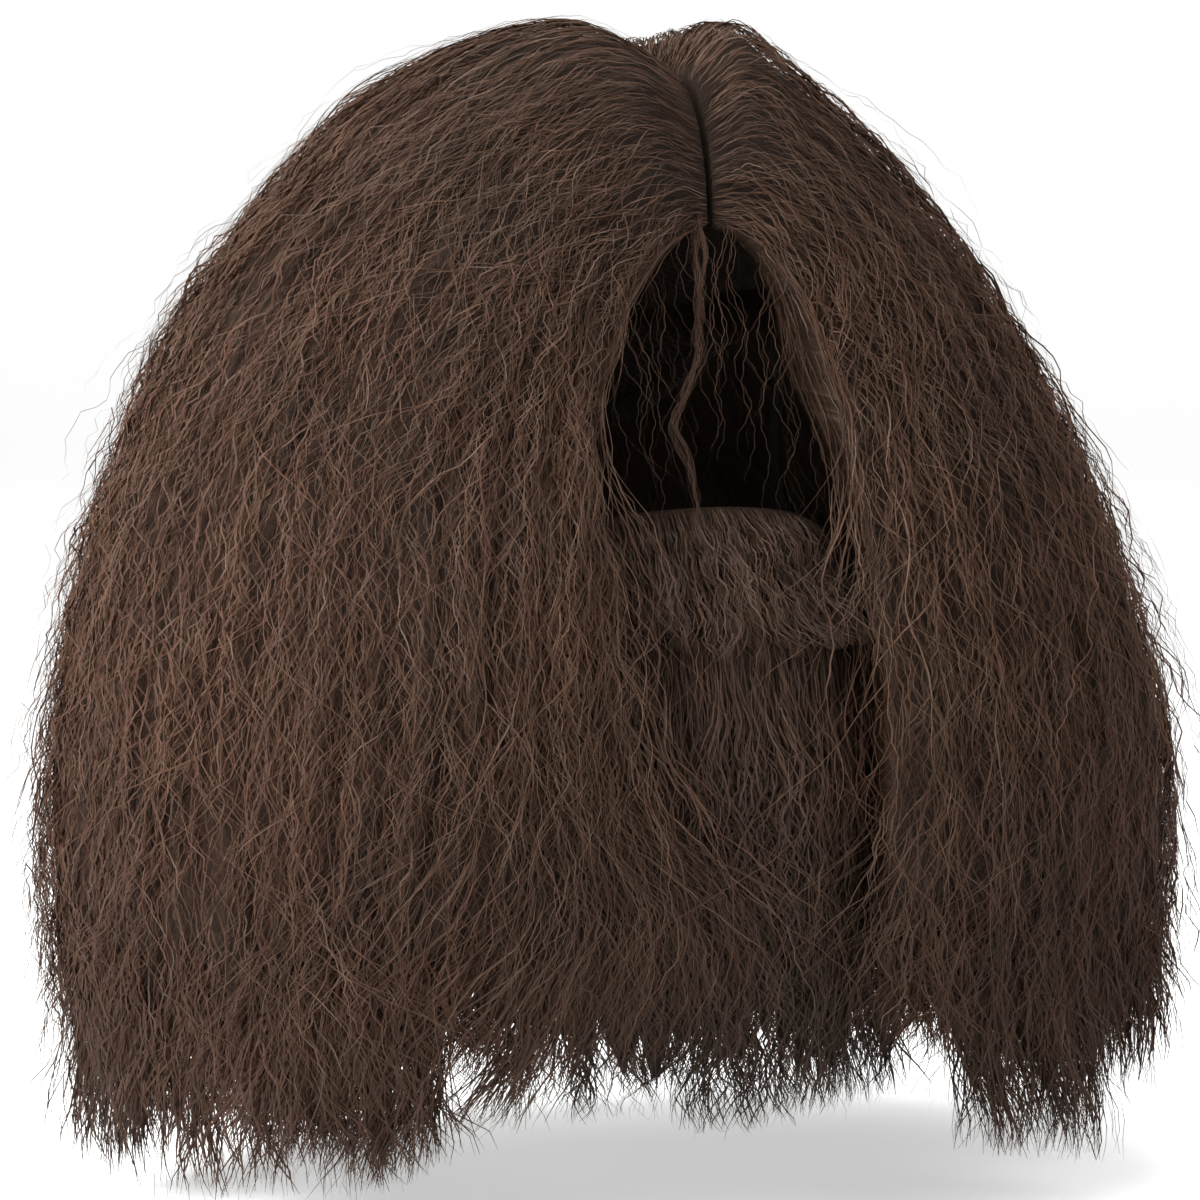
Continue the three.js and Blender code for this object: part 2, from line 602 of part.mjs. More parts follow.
// One tier of the beard, with pointed locks along its lower edge.
function makeBeardTier({ name, top, bottom, rows, notch, color }, tier, room) {
  const columns = BEARD_LOCKS * LOCK_COLUMNS;
  const outer = gridOf(columns, rows, (across, down, column) => {
    const lock = Math.floor(Math.min(column, columns - 1) / LOCK_COLUMNS);
    const ridge = Math.sin((Math.PI * (column % LOCK_COLUMNS)) / LOCK_COLUMNS);
    const place = 2 * across - 1;
    const high = top + BEARD_TOP_DIP * place ** 2;
    const short = notch * (1 - ridge + TIER_UNEVEN * ridge * chance(tier * 17 + lock));
    const reach = bottom - high - short;
    const point = beardPoint(place, high + reach * down, false);
    const out = new THREE.Vector3(place * BEARD_LOCK_SPREAD, -1, 0).normalize();
    return point.addScaledVector(out, BEARD_LOCK_DEPTH * ridge * down);
  });
  const inner = gridOf(BEARD_LOCKS, rows, (across, down) => {
    const place = 2 * across - 1;
    const high = top + BEARD_TOP_DIP * place ** 2;
    return beardInnerPoint(place, high + (bottom - high - INNER_NOTCHES * notch) * down);
  });
  return meshOf(name, clearOf(wallBetween(outer, inner), [room]), color);
}

// A short band from the cloth panel's top edge up to the ribbon inside the cap's rim.
function makeStrap(name, side) {
  const middle = side * STRAP_PLACE * DEGREES;
  const half = STRAP_WIDTH / 2 / HEAD_FRONT;
  const inside = -(2 * SEAT_GAP + BAND_WALL + STRAP_WALL);
  const layer = (out) =>
    gridOf(2, STRAP_ROWS, (across, down) => {
      const angle = middle + half * (1 - 2 * across);
      const low = panelEdges(angle).top - SEAT_GAP;
      const high = rimDrop(middle) - STRAP_LAP;
      const drop = high + (low - high) * down;
      const share = THREE.MathUtils.smoothstep(down, STRAP_LEAVES_CAP, 1);
      return headPoint(angle, drop, inside + out).lerp(panelPoint(angle, drop, out), share);
    });
  return meshOf(name, wallBetween(layer(STRAP_WALL), layer(0)), "#1b1513");
}

// The forelock: a thin lock that hangs from the hair's edge over the face. It starts a small gap
// below the hair that it comes out of.
function makeForelock(hairMesh) {
  const under = hairInnerPoint(0, FORELOCK_ROOT);
  const root = hairPoint(0, FORELOCK_ROOT, false).lerp(under, FORELOCK_ROOT_DEPTH);
  const path = FORELOCK_WAY.map(
    ({ across, down, out }) =>
      new THREE.Vector3(
        root.x + HEAD_HALF_WIDTH * across,
        root.y - HEAD_FRONT * out,
        root.z - SEAM_GAP - FORELOCK_LENGTH * down,
      ),
  );
  const curve = new THREE.CatmullRomCurve3(path, false, "centripetal");
  const steps = (path.length - 1) * FORELOCK_STEPS;
  const points = [];
  for (let i = 0; i <= steps; i += 1) {
    const middle = curve.getPoint(i / steps);
    const way = curve.getTangent(i / steps);
    const aside = new THREE.Vector3(0, -1, 0).cross(way).normalize();
    const out = way.clone().cross(aside).normalize();
    const place = (i / steps) * (path.length - 1);
    const row = Math.min(Math.floor(place), path.length - 2);
    const size = THREE.MathUtils.lerp(FORELOCK_WAY[row].size, FORELOCK_WAY[row + 1].size, place - row);
    for (let k = 0; k < FORELOCK_SIDES; k += 1) {
      const turn = (2 * Math.PI * k) / FORELOCK_SIDES;
      const radius = FORELOCK_RADIUS * size;
      points.push(
        middle
          .clone()
          .addScaledVector(aside, radius * Math.cos(turn))
          .addScaledVector(out, radius * FORELOCK_FLATNESS * Math.sin(turn)),
      );
    }
  }
  const triangles = [];
  for (let i = 0; i < steps; i += 1)
    for (let k = 0; k < FORELOCK_SIDES; k += 1) {
      const next = (k + 1) % FORELOCK_SIDES;
      const [a, b] = [i * FORELOCK_SIDES + k, i * FORELOCK_SIDES + next];
      triangles.push(a, b, b + FORELOCK_SIDES, a, b + FORELOCK_SIDES, a + FORELOCK_SIDES);
    }
  const end = steps * FORELOCK_SIDES;
  for (let k = 1; k + 1 < FORELOCK_SIDES; k += 1) {
    triangles.push(0, k + 1, k);
    triangles.push(end, end + k, end + k + 1);
  }
  const { position } = hairMesh.geometry.attributes;
  const above = solidOf({ positions: position.array, faces: hairMesh.geometry.index.array });
  const rooms = [above, above.translate([0, 0, -SEAT_GAP])];
  return meshOf("forelock", clearOf(closedSurface(points, triangles), rooms), "#33251f");
}

const wig = new THREE.Group();
wig.add(makeCap(), makeCapBand());
const headSpace = headRoom();
const hair = HAIR_SECTORS.map((sector, i) => makeHair(sector, i, [headSpace]));
wig.add(...hair);
wig.add(makeForelock(hair[0]));
wig.add(makeBeardPanel());
const panelSpace = panelRoom();
wig.add(...BEARD_TIERS.map((tier, i) => makeBeardTier(tier, i + 1, panelSpace)));
wig.add(makeStrap("beard_strap_right", 1), makeStrap("beard_strap_left", -1));

export default wig;
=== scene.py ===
"""A very full, frizzy wig with a beard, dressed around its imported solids.

Metres, +Z up, the face looks along -Y and +X is the wearer's left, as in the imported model. The
origin is where the crown of the head touches the inside of the cap.
"""

import logging
import math
from dataclasses import dataclass, field, replace
from enum import Enum

import bpy
import numpy as np
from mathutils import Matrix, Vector


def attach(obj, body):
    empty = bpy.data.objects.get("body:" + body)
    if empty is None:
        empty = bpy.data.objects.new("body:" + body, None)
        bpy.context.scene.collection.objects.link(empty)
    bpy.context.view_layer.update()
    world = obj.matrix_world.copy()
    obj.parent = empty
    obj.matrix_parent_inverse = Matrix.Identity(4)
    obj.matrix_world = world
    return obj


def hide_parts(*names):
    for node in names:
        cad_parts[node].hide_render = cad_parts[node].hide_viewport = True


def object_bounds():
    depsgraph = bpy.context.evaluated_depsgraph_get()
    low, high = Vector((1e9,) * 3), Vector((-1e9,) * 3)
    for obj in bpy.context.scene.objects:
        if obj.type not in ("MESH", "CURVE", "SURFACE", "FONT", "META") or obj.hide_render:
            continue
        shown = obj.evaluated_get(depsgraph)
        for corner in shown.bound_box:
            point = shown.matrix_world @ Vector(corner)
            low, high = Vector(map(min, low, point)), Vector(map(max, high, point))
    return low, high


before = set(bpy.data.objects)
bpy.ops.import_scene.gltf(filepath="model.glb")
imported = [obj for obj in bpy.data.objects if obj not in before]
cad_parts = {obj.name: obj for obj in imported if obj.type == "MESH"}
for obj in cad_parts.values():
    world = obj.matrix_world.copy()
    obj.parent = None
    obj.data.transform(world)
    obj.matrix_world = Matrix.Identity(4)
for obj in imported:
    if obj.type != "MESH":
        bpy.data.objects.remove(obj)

LOG = logging.getLogger("wig")
BODY = "root"
CAD_BOX = [list(corner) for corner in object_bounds()]
MM = 0.001
PHOTO_SIDE = 1200
PIXEL = 0.45 * MM
TUFT_KEY = 71
ROOM = np.array(CAD_BOX) + np.outer([-1.0, 1.0], [0.021, 0.018, 0.021])


class Slot(Enum):
    """The record's material slots."""

    HAIR = "hair"
    BEARD = "beard"
    NET = "cap_net"
    RIBBON = "ribbon"
    CLOTH = "backing_cloth"
    STRAP = "strap"


def smooth(low: float, high: float, value: np.ndarray) -> np.ndarray:
    """A smooth step from 0 at low to 1 at high.

    Args:
        low: Where the step starts.
        high: Where the step ends.
        value: The places to read it at.

    Returns:
        The step's value at each place.
    """
    share = np.clip((value - low) / (high - low), 0, 1)
    return share * share * (3 - 2 * share)


def chance(key: np.ndarray) -> np.ndarray:
    """A number from 0 to 1 that looks random, the same each time for the same key.

    Args:
        key: Any numbers.

    Returns:
        One number for each key.
    """
    wave = np.sin(key * 12.9898 + 4.137) * 43758.5453
    return wave - np.floor(wave)


def unit(vectors: np.ndarray) -> np.ndarray:
    """Vectors of length 1.

    Args:
        vectors: Vectors along the last axis.

    Returns:
        The same directions at length 1.
    """
    return vectors / np.maximum(np.linalg.norm(vectors, axis=-1, keepdims=True), 1e-12)


def lattice(low: float, high: float, columns: int, rows: int) -> tuple[np.ndarray, np.ndarray]:
    """The places of an even grid, from 0 to 1 down it.

    Args:
        low: The first column's place.
        high: The last column's place.
        columns: How many columns.
        rows: How many rows.

    Returns:
        Each point's place across and its place down, as (column, row).
    """
    return np.meshgrid(np.linspace(low, high, columns), np.linspace(0, 1, rows), indexing="ij")


class Drift:
    """A smooth random field over the plane, for waves that neighbours share."""

    SIZE = 64

    def __init__(self, seed: int) -> None:
        """Fills the field's lattice.

        Args:
            seed: The random seed.
        """
        self.lattice = np.random.default_rng(seed).uniform(-1, 1, (self.SIZE, self.SIZE))

    def __call__(self, across: np.ndarray, down: np.ndarray) -> np.ndarray:
        """Reads the field.

        Args:
            across: First coordinate, in lattice steps.
            down: Second coordinate, in lattice steps.

        Returns:
            Values from -1 to 1.
        """
        column, row = np.floor(across).astype(int), np.floor(down).astype(int)
        s, t = smooth(0, 1, across - column), smooth(0, 1, down - row)

        def knot(i: int, j: int) -> np.ndarray:
            """The lattice's value at a corner of the cell."""
            return self.lattice[(column + i) % self.SIZE, (row + j) % self.SIZE]

        top = knot(0, 0) * (1 - s) + knot(1, 0) * s
        low = knot(0, 1) * (1 - s) + knot(1, 1) * s
        return top * (1 - t) + low * t


class Levels:
    """A table of sections with named columns, read along a smooth curve through its rows."""

    def __init__(self, names: str, rows: tuple[tuple[float, ...], ...]) -> None:
        """Keeps the table.

        Args:
            names: The names of the columns, the first of which is at.
            rows: One row for each section.
        """
        self.columns = dict(zip(names.split(), np.array(rows).T))

    def __call__(self, name: str, at: np.ndarray) -> np.ndarray:
        """Reads a column between the rows.

        Args:
            name: The column's name.
            at: The places to read it at.

        Returns:
            The column's value at each place.
        """
        place, value = self.columns["at"], self.columns[name]
        last = len(place) - 2
        i = np.clip(np.searchsorted(place, at, side="left") - 1, 0, last)
        before, after = np.maximum(i - 1, 0), np.minimum(i + 2, last + 1)
        start = (value[i + 1] - value[before]) / (place[i + 1] - place[before])
        end = (value[after] - value[i]) / (place[after] - place[i])
        run = place[i + 1] - place[i]
        s = np.clip((at - place[i]) / run, 0, 1)
        keep = 1 + s * s * (2 * s - 3)
        return keep * value[i] + (1 - keep) * value[i + 1] + run * s * (1 - s) * ((1 - s) * start - s * end)


@dataclass(frozen=True)
class HeadForm:
    """The head that the cap is made for."""

    half_width: float = 78 * MM
    front: float = 95 * MM
    back: float = 98 * MM
    crown_to_equator: float = 95 * MM
    roundness: float = 2.6

    def point(self, angle: np.ndarray, drop: np.ndarray, out: float) -> np.ndarray:
        """Points of the head's surface, pushed out by a distance.

        Args:
            angle: Angle from the face towards the wearer's right, in radians.
            drop: Distance below the crown.
            out: Distance out of the surface.

        Returns:
            Points along the last axis.
        """
        level = np.clip((self.crown_to_equator - drop) / (self.crown_to_equator + out), -1, 1)
        wide = (1 - np.abs(level) ** self.roundness) ** (1 / self.roundness)
        reach = np.where(np.cos(angle) > 0, self.front, self.back) + out
        x = -(self.half_width + out) * wide * np.sin(angle)
        return np.stack([x, -reach * wide * np.cos(angle), -drop + 0 * x], -1)

    def onto(self, point: np.ndarray, out: float) -> np.ndarray:
        """Brings points to the head's surface, towards the head's middle.

        Args:
            point: Points outside the head, along the last axis.
            out: Distance out of the surface.

        Returns:
            Points on the surface.
        """
        reach = np.where(point[..., 1] < 0, self.front, self.back) + out
        rise = point[..., 2] + self.crown_to_equator
        flat = np.hypot(point[..., 0] / (self.half_width + out), point[..., 1] / reach)
        tall = np.abs(rise / (self.crown_to_equator + out))
        size = (flat**self.roundness + tall**self.roundness) ** (1 / self.roundness)
        centred = np.stack([point[..., 0], point[..., 1], rise], -1) / size[..., None]
        return centred - np.array([0, 0, self.crown_to_equator])


HEAD = HeadForm()
RIM = Levels(
    "at drop",
    ((0, 0.21), (28, 0.27), (52, 0.46), (70, 0.69), (88, 0.7), (112, 0.66), (145, 0.88), (180, 1)),
)
RIM_DROP = 152 * MM


def rim_drop(angle: np.ndarray) -> np.ndarray:
    """How far below the crown the cap's rim lies.

    Args:
        angle: Angle from the face, in radians.

    Returns:
        The drop at each angle.
    """
    degrees = np.abs((np.degrees(angle) + 180) % 360 - 180)
    return RIM_DROP * RIM("drop", degrees)


@dataclass(frozen=True)
class HairForm:
    """The smooth outer and inner form of the hair, from the parting to the tips.

    round goes from 0 at the right edge of the face, past the back, to 1 at the left edge, and at
    is the share of a strand's length.
    """

    right: float = 250 * MM
    left: float = 268 * MM
    front: float = 154 * MM
    back: float = 192 * MM
    rise: float = 44 * MM
    drop: float = 452 * MM
    roundness: float = 2.2
    parting_shift: float = 22 * MM
    parting_run: float = 112 * MM
    seated_until: float = 0.33
    free_from: float = 0.5
    seat: float = 3 * MM
    levels: Levels = Levels(
        "at right left back side_y fall_side fall_edge fall_back edge_right edge_left edge_front"
        " thick_side thick_edge thick_back",
        (
            (0, 0.007, 0.007, 0.094, -0.13, 0.045, 0.181, 0.036, 0.005, 0.006, 0.617, 0.5, 0.06, 0.5),
            (0.09, 0.17, 0.12, 0.34, -0.1, 0.003, 0.188, 0.025, 0.054, 0.052, 0.636, 0.5, 0.07, 0.5),
            (0.19, 0.37, 0.26, 0.62, -0.02, 0.043, 0.213, 0.088, 0.125, 0.107, 0.669, 0.5, 0.09, 0.5),
            (0.294, 0.57, 0.46, 0.8, 0.04, 0.134, 0.265, 0.19, 0.205, 0.163, 0.714, 0.5, 0.11, 0.48),
            (0.432, 0.78, 0.685, 0.9, 0.07, 0.283, 0.36, 0.33, 0.27, 0.207, 0.779, 0.6, 0.14, 0.36),
            (0.574, 0.915, 0.85, 0.95, 0.08, 0.453, 0.497, 0.49, 0.31, 0.235, 0.909, 0.46, 0.15, 0.3),
            (0.731, 1, 0.965, 0.985, 0.08, 0.65, 0.66, 0.668, 0.32, 0.235, 0.987, 0.32, 0.16, 0.24),
            (0.871, 0.985, 0.95, 0.979, 0.08, 0.83, 0.81, 0.85, 0.35, 0.23, 0.99, 0.22, 0.14, 0.18),
            (1, 0.94, 0.93, 0.938, 0.08, 1, 0.95, 1, 0.5, 0.24, 0.961, 0.13, 0.1, 0.12),
        ),
    )

    def shell(self, round_: np.ndarray, at: np.ndarray, inner: bool) -> np.ndarray:
        """Points of the hair's free outer or inner form.

        Args:
            round_: Share of the way round.
            at: Share of a strand's length.
            inner: Whether the inner form is wanted.

        Returns:
            Points along the last axis.
        """
        right = round_ <= 0.5
        way = np.where(right, round_, 1 - round_)

        def thin(name: str) -> np.ndarray:
            """The hair's thickness at this level, for the inner form."""
            return self.back * self.levels(name, at) if inner else np.zeros_like(at)

        read = self.levels
        side = np.where(right, self.right * read("right", at), self.left * read("left", at))
        side = side - thin("thick_side")
        edge = np.where(right, self.right * read("edge_right", at), self.left * read("edge_left", at))
        side_y = self.back * read("side_y", at)
        turn = np.minimum(way / 0.25, 2) * math.pi / 2
        ahead = turn <= math.pi / 2
        quarter = np.where(ahead, turn, turn - math.pi / 2)
        rise, run = np.clip(np.sin(quarter), 0, 1), np.clip(np.cos(quarter), 0, 1)
        bend = 2 / self.roundness
        front = -(self.front * read("edge_front", at) - thin("thick_edge"))
        back = self.back * read("back", at) - thin("thick_back")
        x = np.where(ahead, edge + (side - edge) * rise**bend, side * run**bend)
        y = np.where(ahead, side_y - (side_y - front) * run**bend, side_y + (back - side_y) * rise**bend)
        far = np.where(ahead, read("fall_edge", at), read("fall_back", at))
        fall = read("fall_side", at) + (far - read("fall_side", at)) * (1 - np.where(ahead, rise, run))
        lean = np.clip(1 - at / 0.3, 0, 1) ** 2 * np.clip((y + HEAD.front) / self.parting_run, 0, 1)
        x = np.where(right, -x, x) + self.parting_shift * lean
        return np.stack([x, y, self.rise - (self.rise + self.drop) * fall], -1)

    def inner(self, round_: np.ndarray, at: np.ndarray) -> np.ndarray:
        """Points of the hair's inner face, on the cap above and free below it.

        Args:
            round_: Share of the way round.
            at: Share of a strand's length.

        Returns:
            Points along the last axis.
        """
        seated = HEAD.onto(self.shell(round_, at, False), self.seat)
        free = smooth(self.seated_until, self.free_from, at)[..., None]
        return seated * (1 - free) + self.shell(round_, at, True) * free


@dataclass(frozen=True)
class PanelForm:
    """The cloth panel in front of the jaw."""

    half_width: float = 76 * MM
    front: float = 104 * MM
    top: float = 167 * MM
    top_dip: float = 8 * MM
    height: float = 86 * MM
    wrap: float = math.radians(104)
    wall: float = 1.6 * MM
    beard_half_width: float = 60 * MM

    def point(self, angle: np.ndarray, drop: np.ndarray, out: float) -> np.ndarray:
        """Points of the panel's inner face, pushed out by a distance.

        Args:
            angle: Angle from the face towards the wearer's right, in radians.
            drop: Distance below the crown.
            out: Distance out of the face.

        Returns:
            Points along the last axis.
        """
        low = np.maximum((drop - self.top) / self.height, 0)
        half = self.half_width * (1 - 0.12 * low**2) + out
        front = self.front * (1 - 0.05 * low**2) + out
        return np.stack([-half * np.sin(angle), -front * np.cos(angle), -drop + 0 * angle], -1)

    def edges(self, angle: np.ndarray) -> tuple[np.ndarray, np.ndarray]:
        """The panel's top and bottom edges.

        Args:
            angle: Angle from the face, in radians.

        Returns:
            The drops of the top and of the bottom edge.
        """
        away = np.abs(angle) / self.wrap
        reach = np.minimum(np.abs(np.sin(angle)) * self.half_width / self.beard_half_width, 1)
        return self.top + self.top_dip * reach**2, self.top + self.height * (1 - 0.55 * away**2)


PANEL = PanelForm()


@dataclass(frozen=True)
class BeardForm:
    """The smooth outer and inner form of one tier of the beard.

    round goes from 0 on the wearer's right to 1 on the left, and at from the top to the tips.
    """

    top: float
    bottom: float
    half_width: float = PANEL.beard_half_width
    thickness: float = 44 * MM
    beard_top: float = PANEL.top
    beard_bottom: float = 418 * MM
    rounding: float = 34 * MM
    levels: Levels = Levels(
        "at half front thick",
        (
            (0, 0.98, 0.065, 0.067),
            (0.07, 1.02, 0.36, 0.27),
            (0.18, 1.04, 0.664, 0.5),
            (0.34, 1.06, 0.9, 0.81),
            (0.52, 1.1, 1, 0.84),
            (0.7, 1.13, 0.95, 0.74),
            (0.87, 1.12, 0.815, 0.57),
            (1, 1.04, 0.664, 0.37),
        ),
    )

    def shell(self, round_: np.ndarray, at: np.ndarray, inner: bool) -> np.ndarray:
        """Points of the beard's free outer or inner form.

        Args:
            round_: Share of the way across.
            at: Share of the tier's height.
            inner: Whether the inner form is wanted.

        Returns:
            Points along the last axis.
        """
        place = 2 * round_ - 1
        high = self.top + PANEL.top_dip * place**2
        drop = high + (self.bottom - high) * at
        level = np.clip((drop - self.beard_top) / (self.beard_bottom - self.beard_top), 0, 1)
        thick = self.thickness * self.levels("thick", level) if inner else 0
        front = PANEL.front + self.thickness * self.levels("front", level) - thick
        back = self.rounding * place**2 * (1 + 0.2 * place**2)
        return np.stack([self.half_width * self.levels("half", level) * place, back - front, -drop], -1)

    def inner(self, round_: np.ndarray, at: np.ndarray) -> np.ndarray:
        """Points of the tier's inner face, on the panel above and free below it.

        Args:
            round_: Share of the way across.
            at: Share of the tier's height.

        Returns:
            Points along the last axis.
        """
        free_point = self.shell(round_, at, True)
        drop = -free_point[..., 2]
        place = np.clip(self.half_width * (2 * round_ - 1) / PANEL.half_width, -1, 1)
        seated = PANEL.point(-np.arcsin(place), drop, PANEL.wall + 0.5 * MM)
        low = PANEL.top + PANEL.height
        free = smooth(low - 4 * MM, low + 50 * MM, drop)[..., None]
        return seated * (1 - free) + free_point * free


class SurfaceMap:
    """A form's outer and inner faces, measured once on a grid and then read anywhere."""

    ACROSS = 320
    DOWN = 160

    def __init__(self, form: HairForm | BeardForm) -> None:
        """Measures the form.

        Args:
            form: The form to measure.
        """
        rounds, ats = lattice(0, 1, self.ACROSS + 1, self.DOWN + 1)
        self.outer = form.shell(rounds, ats, False)
        self.inner = form.inner(rounds, ats)
        across = np.gradient(self.outer, axis=0) * self.ACROSS
        down = np.gradient(self.outer, axis=1) * self.DOWN
        self.girth = np.linalg.norm(across, axis=-1)
        self.pace = np.linalg.norm(down, axis=-1)
        self.whole = np.broadcast_to(self.pace.mean(1, keepdims=True), self.pace.shape)
        self.aside = unit(across)
        out = unit(np.cross(down, across))
        away = (out * (self.outer - self.inner)).sum()
        self.out = out if away > 0 else -out
        self.down = unit(down)

    def read(self, name: str, round_: np.ndarray, at: np.ndarray) -> np.ndarray:
        """Reads one of the measured grids between its points.

        Args:
            name: The grid's name, such as outer or out.
            round_: Share of the way round.
            at: Share of a strand's length, which is held between 0 and 1.

        Returns:
            The value at each place.
        """
        grid = getattr(self, name)
        u = np.clip(round_, 0, 1) * self.ACROSS
        v = np.clip(at, 0, 1) * self.DOWN
        i, j = np.minimum(u.astype(int), self.ACROSS - 1), np.minimum(v.astype(int), self.DOWN - 1)
        s, t = u - i, v - j
        if grid.ndim == 3:
            s, t = s[..., None], t[..., None]
        top = grid[i, j] * (1 - s) + grid[i + 1, j] * s
        low = grid[i, j + 1] * (1 - s) + grid[i + 1, j + 1] * s
        return top * (1 - t) + low * t

    def beyond(self, round_: np.ndarray, at: np.ndarray) -> np.ndarray:
        """How far a strand has gone past the form's lower edge, as a vector.

        Args:
            round_: Share of the way round.
            at: Share of a strand's length.

        Returns:
            The vectors to add to points read at the edge.
        """
        past = (np.maximum(at - 1, 0) + np.minimum(at, 0)) * self.read("pace", round_, at)
        return self.read("down", round_, at) * past[..., None]


@dataclass(frozen=True)
class StrandStyle:
    """How one kind of strand is drawn and how it waves."""

    width: float = 0.6 * MM
    spacing: float = 4.0 * MM
    crimp: float = 1.2 * MM
    crimp_period: float = 10 * MM
    curl: float = 2.2 * MM
    curl_period: float = 42 * MM
    sway: float = 9 * MM
    stray: float = 0.16
    clump: float = 0.42
    locks: int = 97
    lift: float = 3.2 * MM
    sink: float = 5 * MM
    root: float = 14 * MM
    tips: int = 64
    ragged: float = 0.1
    flyaways: float = 0.16
    flare: float = 19 * MM

    def steps(self, length: float) -> int:
        """How many points a strand of this length takes."""
        return max(int(length / self.spacing), 6)


@dataclass(frozen=True)
class Growth:
    """Where a batch of strands grows and how long it is.

    low_at and high_at bound the strands' starts, depth their place between the outer face, 0, and
    the inner face, 1.
    """

    share: float
    length: float
    low_at: float = 0.0
    high_at: float = 0.8
    end: float = 1.0
    low_depth: float = 0.0
    high_depth: float = 0.0
    edge: float = 0.0
    spread: float = 0.0
    inside: bool = False


@dataclass(frozen=True)
class Batch:
    """Strands laid on a form, with a row for each strand and a column for each of its points.

    share and run are the share and the distance along the strand, here and at its place on the
    form, end where it stops, ends where its tuft stops, and loose how free of the cap it is.
    """

    growth: Growth
    style: StrandStyle
    share: np.ndarray
    run: np.ndarray
    start: np.ndarray
    here: np.ndarray
    at: np.ndarray
    end: np.ndarray
    ends: np.ndarray
    tip: np.ndarray
    lock: np.ndarray
    girth: np.ndarray
    loose: np.ndarray


@dataclass(frozen=True)
class Curls:
    """The curl and the crimp of a batch of strands, and their other movement sideways."""

    sideways: np.ndarray
    curl: np.ndarray
    curl_wave: np.ndarray
    crimp: np.ndarray
    tilt: np.ndarray
    crimp_wave: np.ndarray


@dataclass
class Strands:
    """Batches of strand paths that become one mesh."""

    paths: list[np.ndarray] = field(default_factory=list)
    sides: list[np.ndarray] = field(default_factory=list)
    widths: list[np.ndarray] = field(default_factory=list)
    tints: list[np.ndarray] = field(default_factory=list)

    def add(self, path: np.ndarray, side: np.ndarray, width: np.ndarray, tint: np.ndarray) -> None:
        """Adds a batch of strands with the same number of points.

        Args:
            path: The strands' points, as (strand, point, axis).
            side: The direction of the strand's width at each point.
            width: The width at each point.
            tint: The strand's tone, its lock's tone and its lift, as (strand, 3).
        """
        self.paths.append(path)
        self.sides.append(side)
        self.widths.append(width)
        self.tints.append(tint)

    def mesh(self, name: str) -> bpy.types.Object:
        """Joins all batches into one mesh of thin ribbons.

        Args:
            name: The object's name.

        Returns:
            The new object, with a tint attribute and two maps for its textures.
        """
        points, quads, tints, maps, fibres = [], [], [], [], []
        first = 0
        total = sum(p.shape[0] for p in self.paths)
        columns = max(int(math.ceil(math.sqrt(total / 2))), 1)
        rows = int(math.ceil(total / columns))
        begun = 0
        for path, side, width, tint in zip(self.paths, self.sides, self.widths, self.tints):
            count, steps = path.shape[:2]
            half = side * width[..., None] / 2
            pair = np.stack([path - half, path + half], 2)
            points.append(pair.reshape(-1, 3))
            base = first + (np.arange(count)[:, None] * steps + np.arange(steps - 1)[None, :]) * 2
            quads.append(np.stack([base, base + 1, base + 3, base + 2], -1).reshape(-1, 4))
            along = np.broadcast_to(np.linspace(0, 1, steps)[None, :, None], (count, steps, 2))
            tone = np.empty((count, steps, 2, 4))
            tone[..., :3] = tint[:, None, None, :]
            tone[..., 3] = along
            tints.append(tone.reshape(-1, 4))
            number = begun + np.arange(count)
            cell = np.stack([number % columns, number // columns], -1)[:, None, None, :]
            inset = np.stack(
                np.broadcast_arrays(np.array([0.2, 0.8])[None, None, :], 0.05 + 0.9 * along), -1
            )
            maps.append(((cell + inset) / np.array([columns, rows])).reshape(-1, 2))
            across = number[:, None, None] + np.array([0.0, 0.999])[None, None, :]
            fibres.append(np.stack(np.broadcast_arrays(across, along * steps / 12), -1).reshape(-1, 2))
            first += count * steps * 2
            begun += count
        return ribbon_object(
            name, *(np.concatenate(rows_) for rows_ in (points, quads, tints, maps, fibres))
        )


def ribbon_object(
    name: str, points: np.ndarray, quads: np.ndarray, tints: np.ndarray, maps: np.ndarray, fibres: np.ndarray
) -> bpy.types.Object:
    """A mesh of four-sided faces with a tint and two texture maps.

    Args:
        name: The object's name.
        points: The points, as (point, axis).
        quads: The faces' corners, as (face, 4).
        tints: Four numbers for each point.
        maps: The place of each point on the map for baking.
        fibres: The ribbon's number plus the share across it, and the place along it.

    Returns:
        The new object, linked to the scene.
    """
    mesh = bpy.data.meshes.new(name)
    mesh.vertices.add(len(points))
    mesh.vertices.foreach_set("co", points.astype(np.float32).ravel())
    mesh.loops.add(quads.size)
    mesh.loops.foreach_set("vertex_index", quads.astype(np.int32).ravel())
    mesh.polygons.add(len(quads))
    mesh.polygons.foreach_set("loop_start", np.arange(0, quads.size, 4, dtype=np.int32))
    mesh.update(calc_edges=True)
    layer = mesh.attributes.new("tint", "FLOAT_COLOR", "POINT")
    layer.data.foreach_set("color", tints.astype(np.float32).ravel())
    for label, values in (("OFBake", maps), ("fibre", fibres)):
        layer = mesh.uv_layers.new(name=label)
        layer.uv.foreach_set("vector", values[quads.ravel()].astype(np.float32).ravel())
    mesh.shade_smooth()
    item = bpy.data.objects.new(name, mesh)
    bpy.context.scene.collection.objects.link(item)
    return item


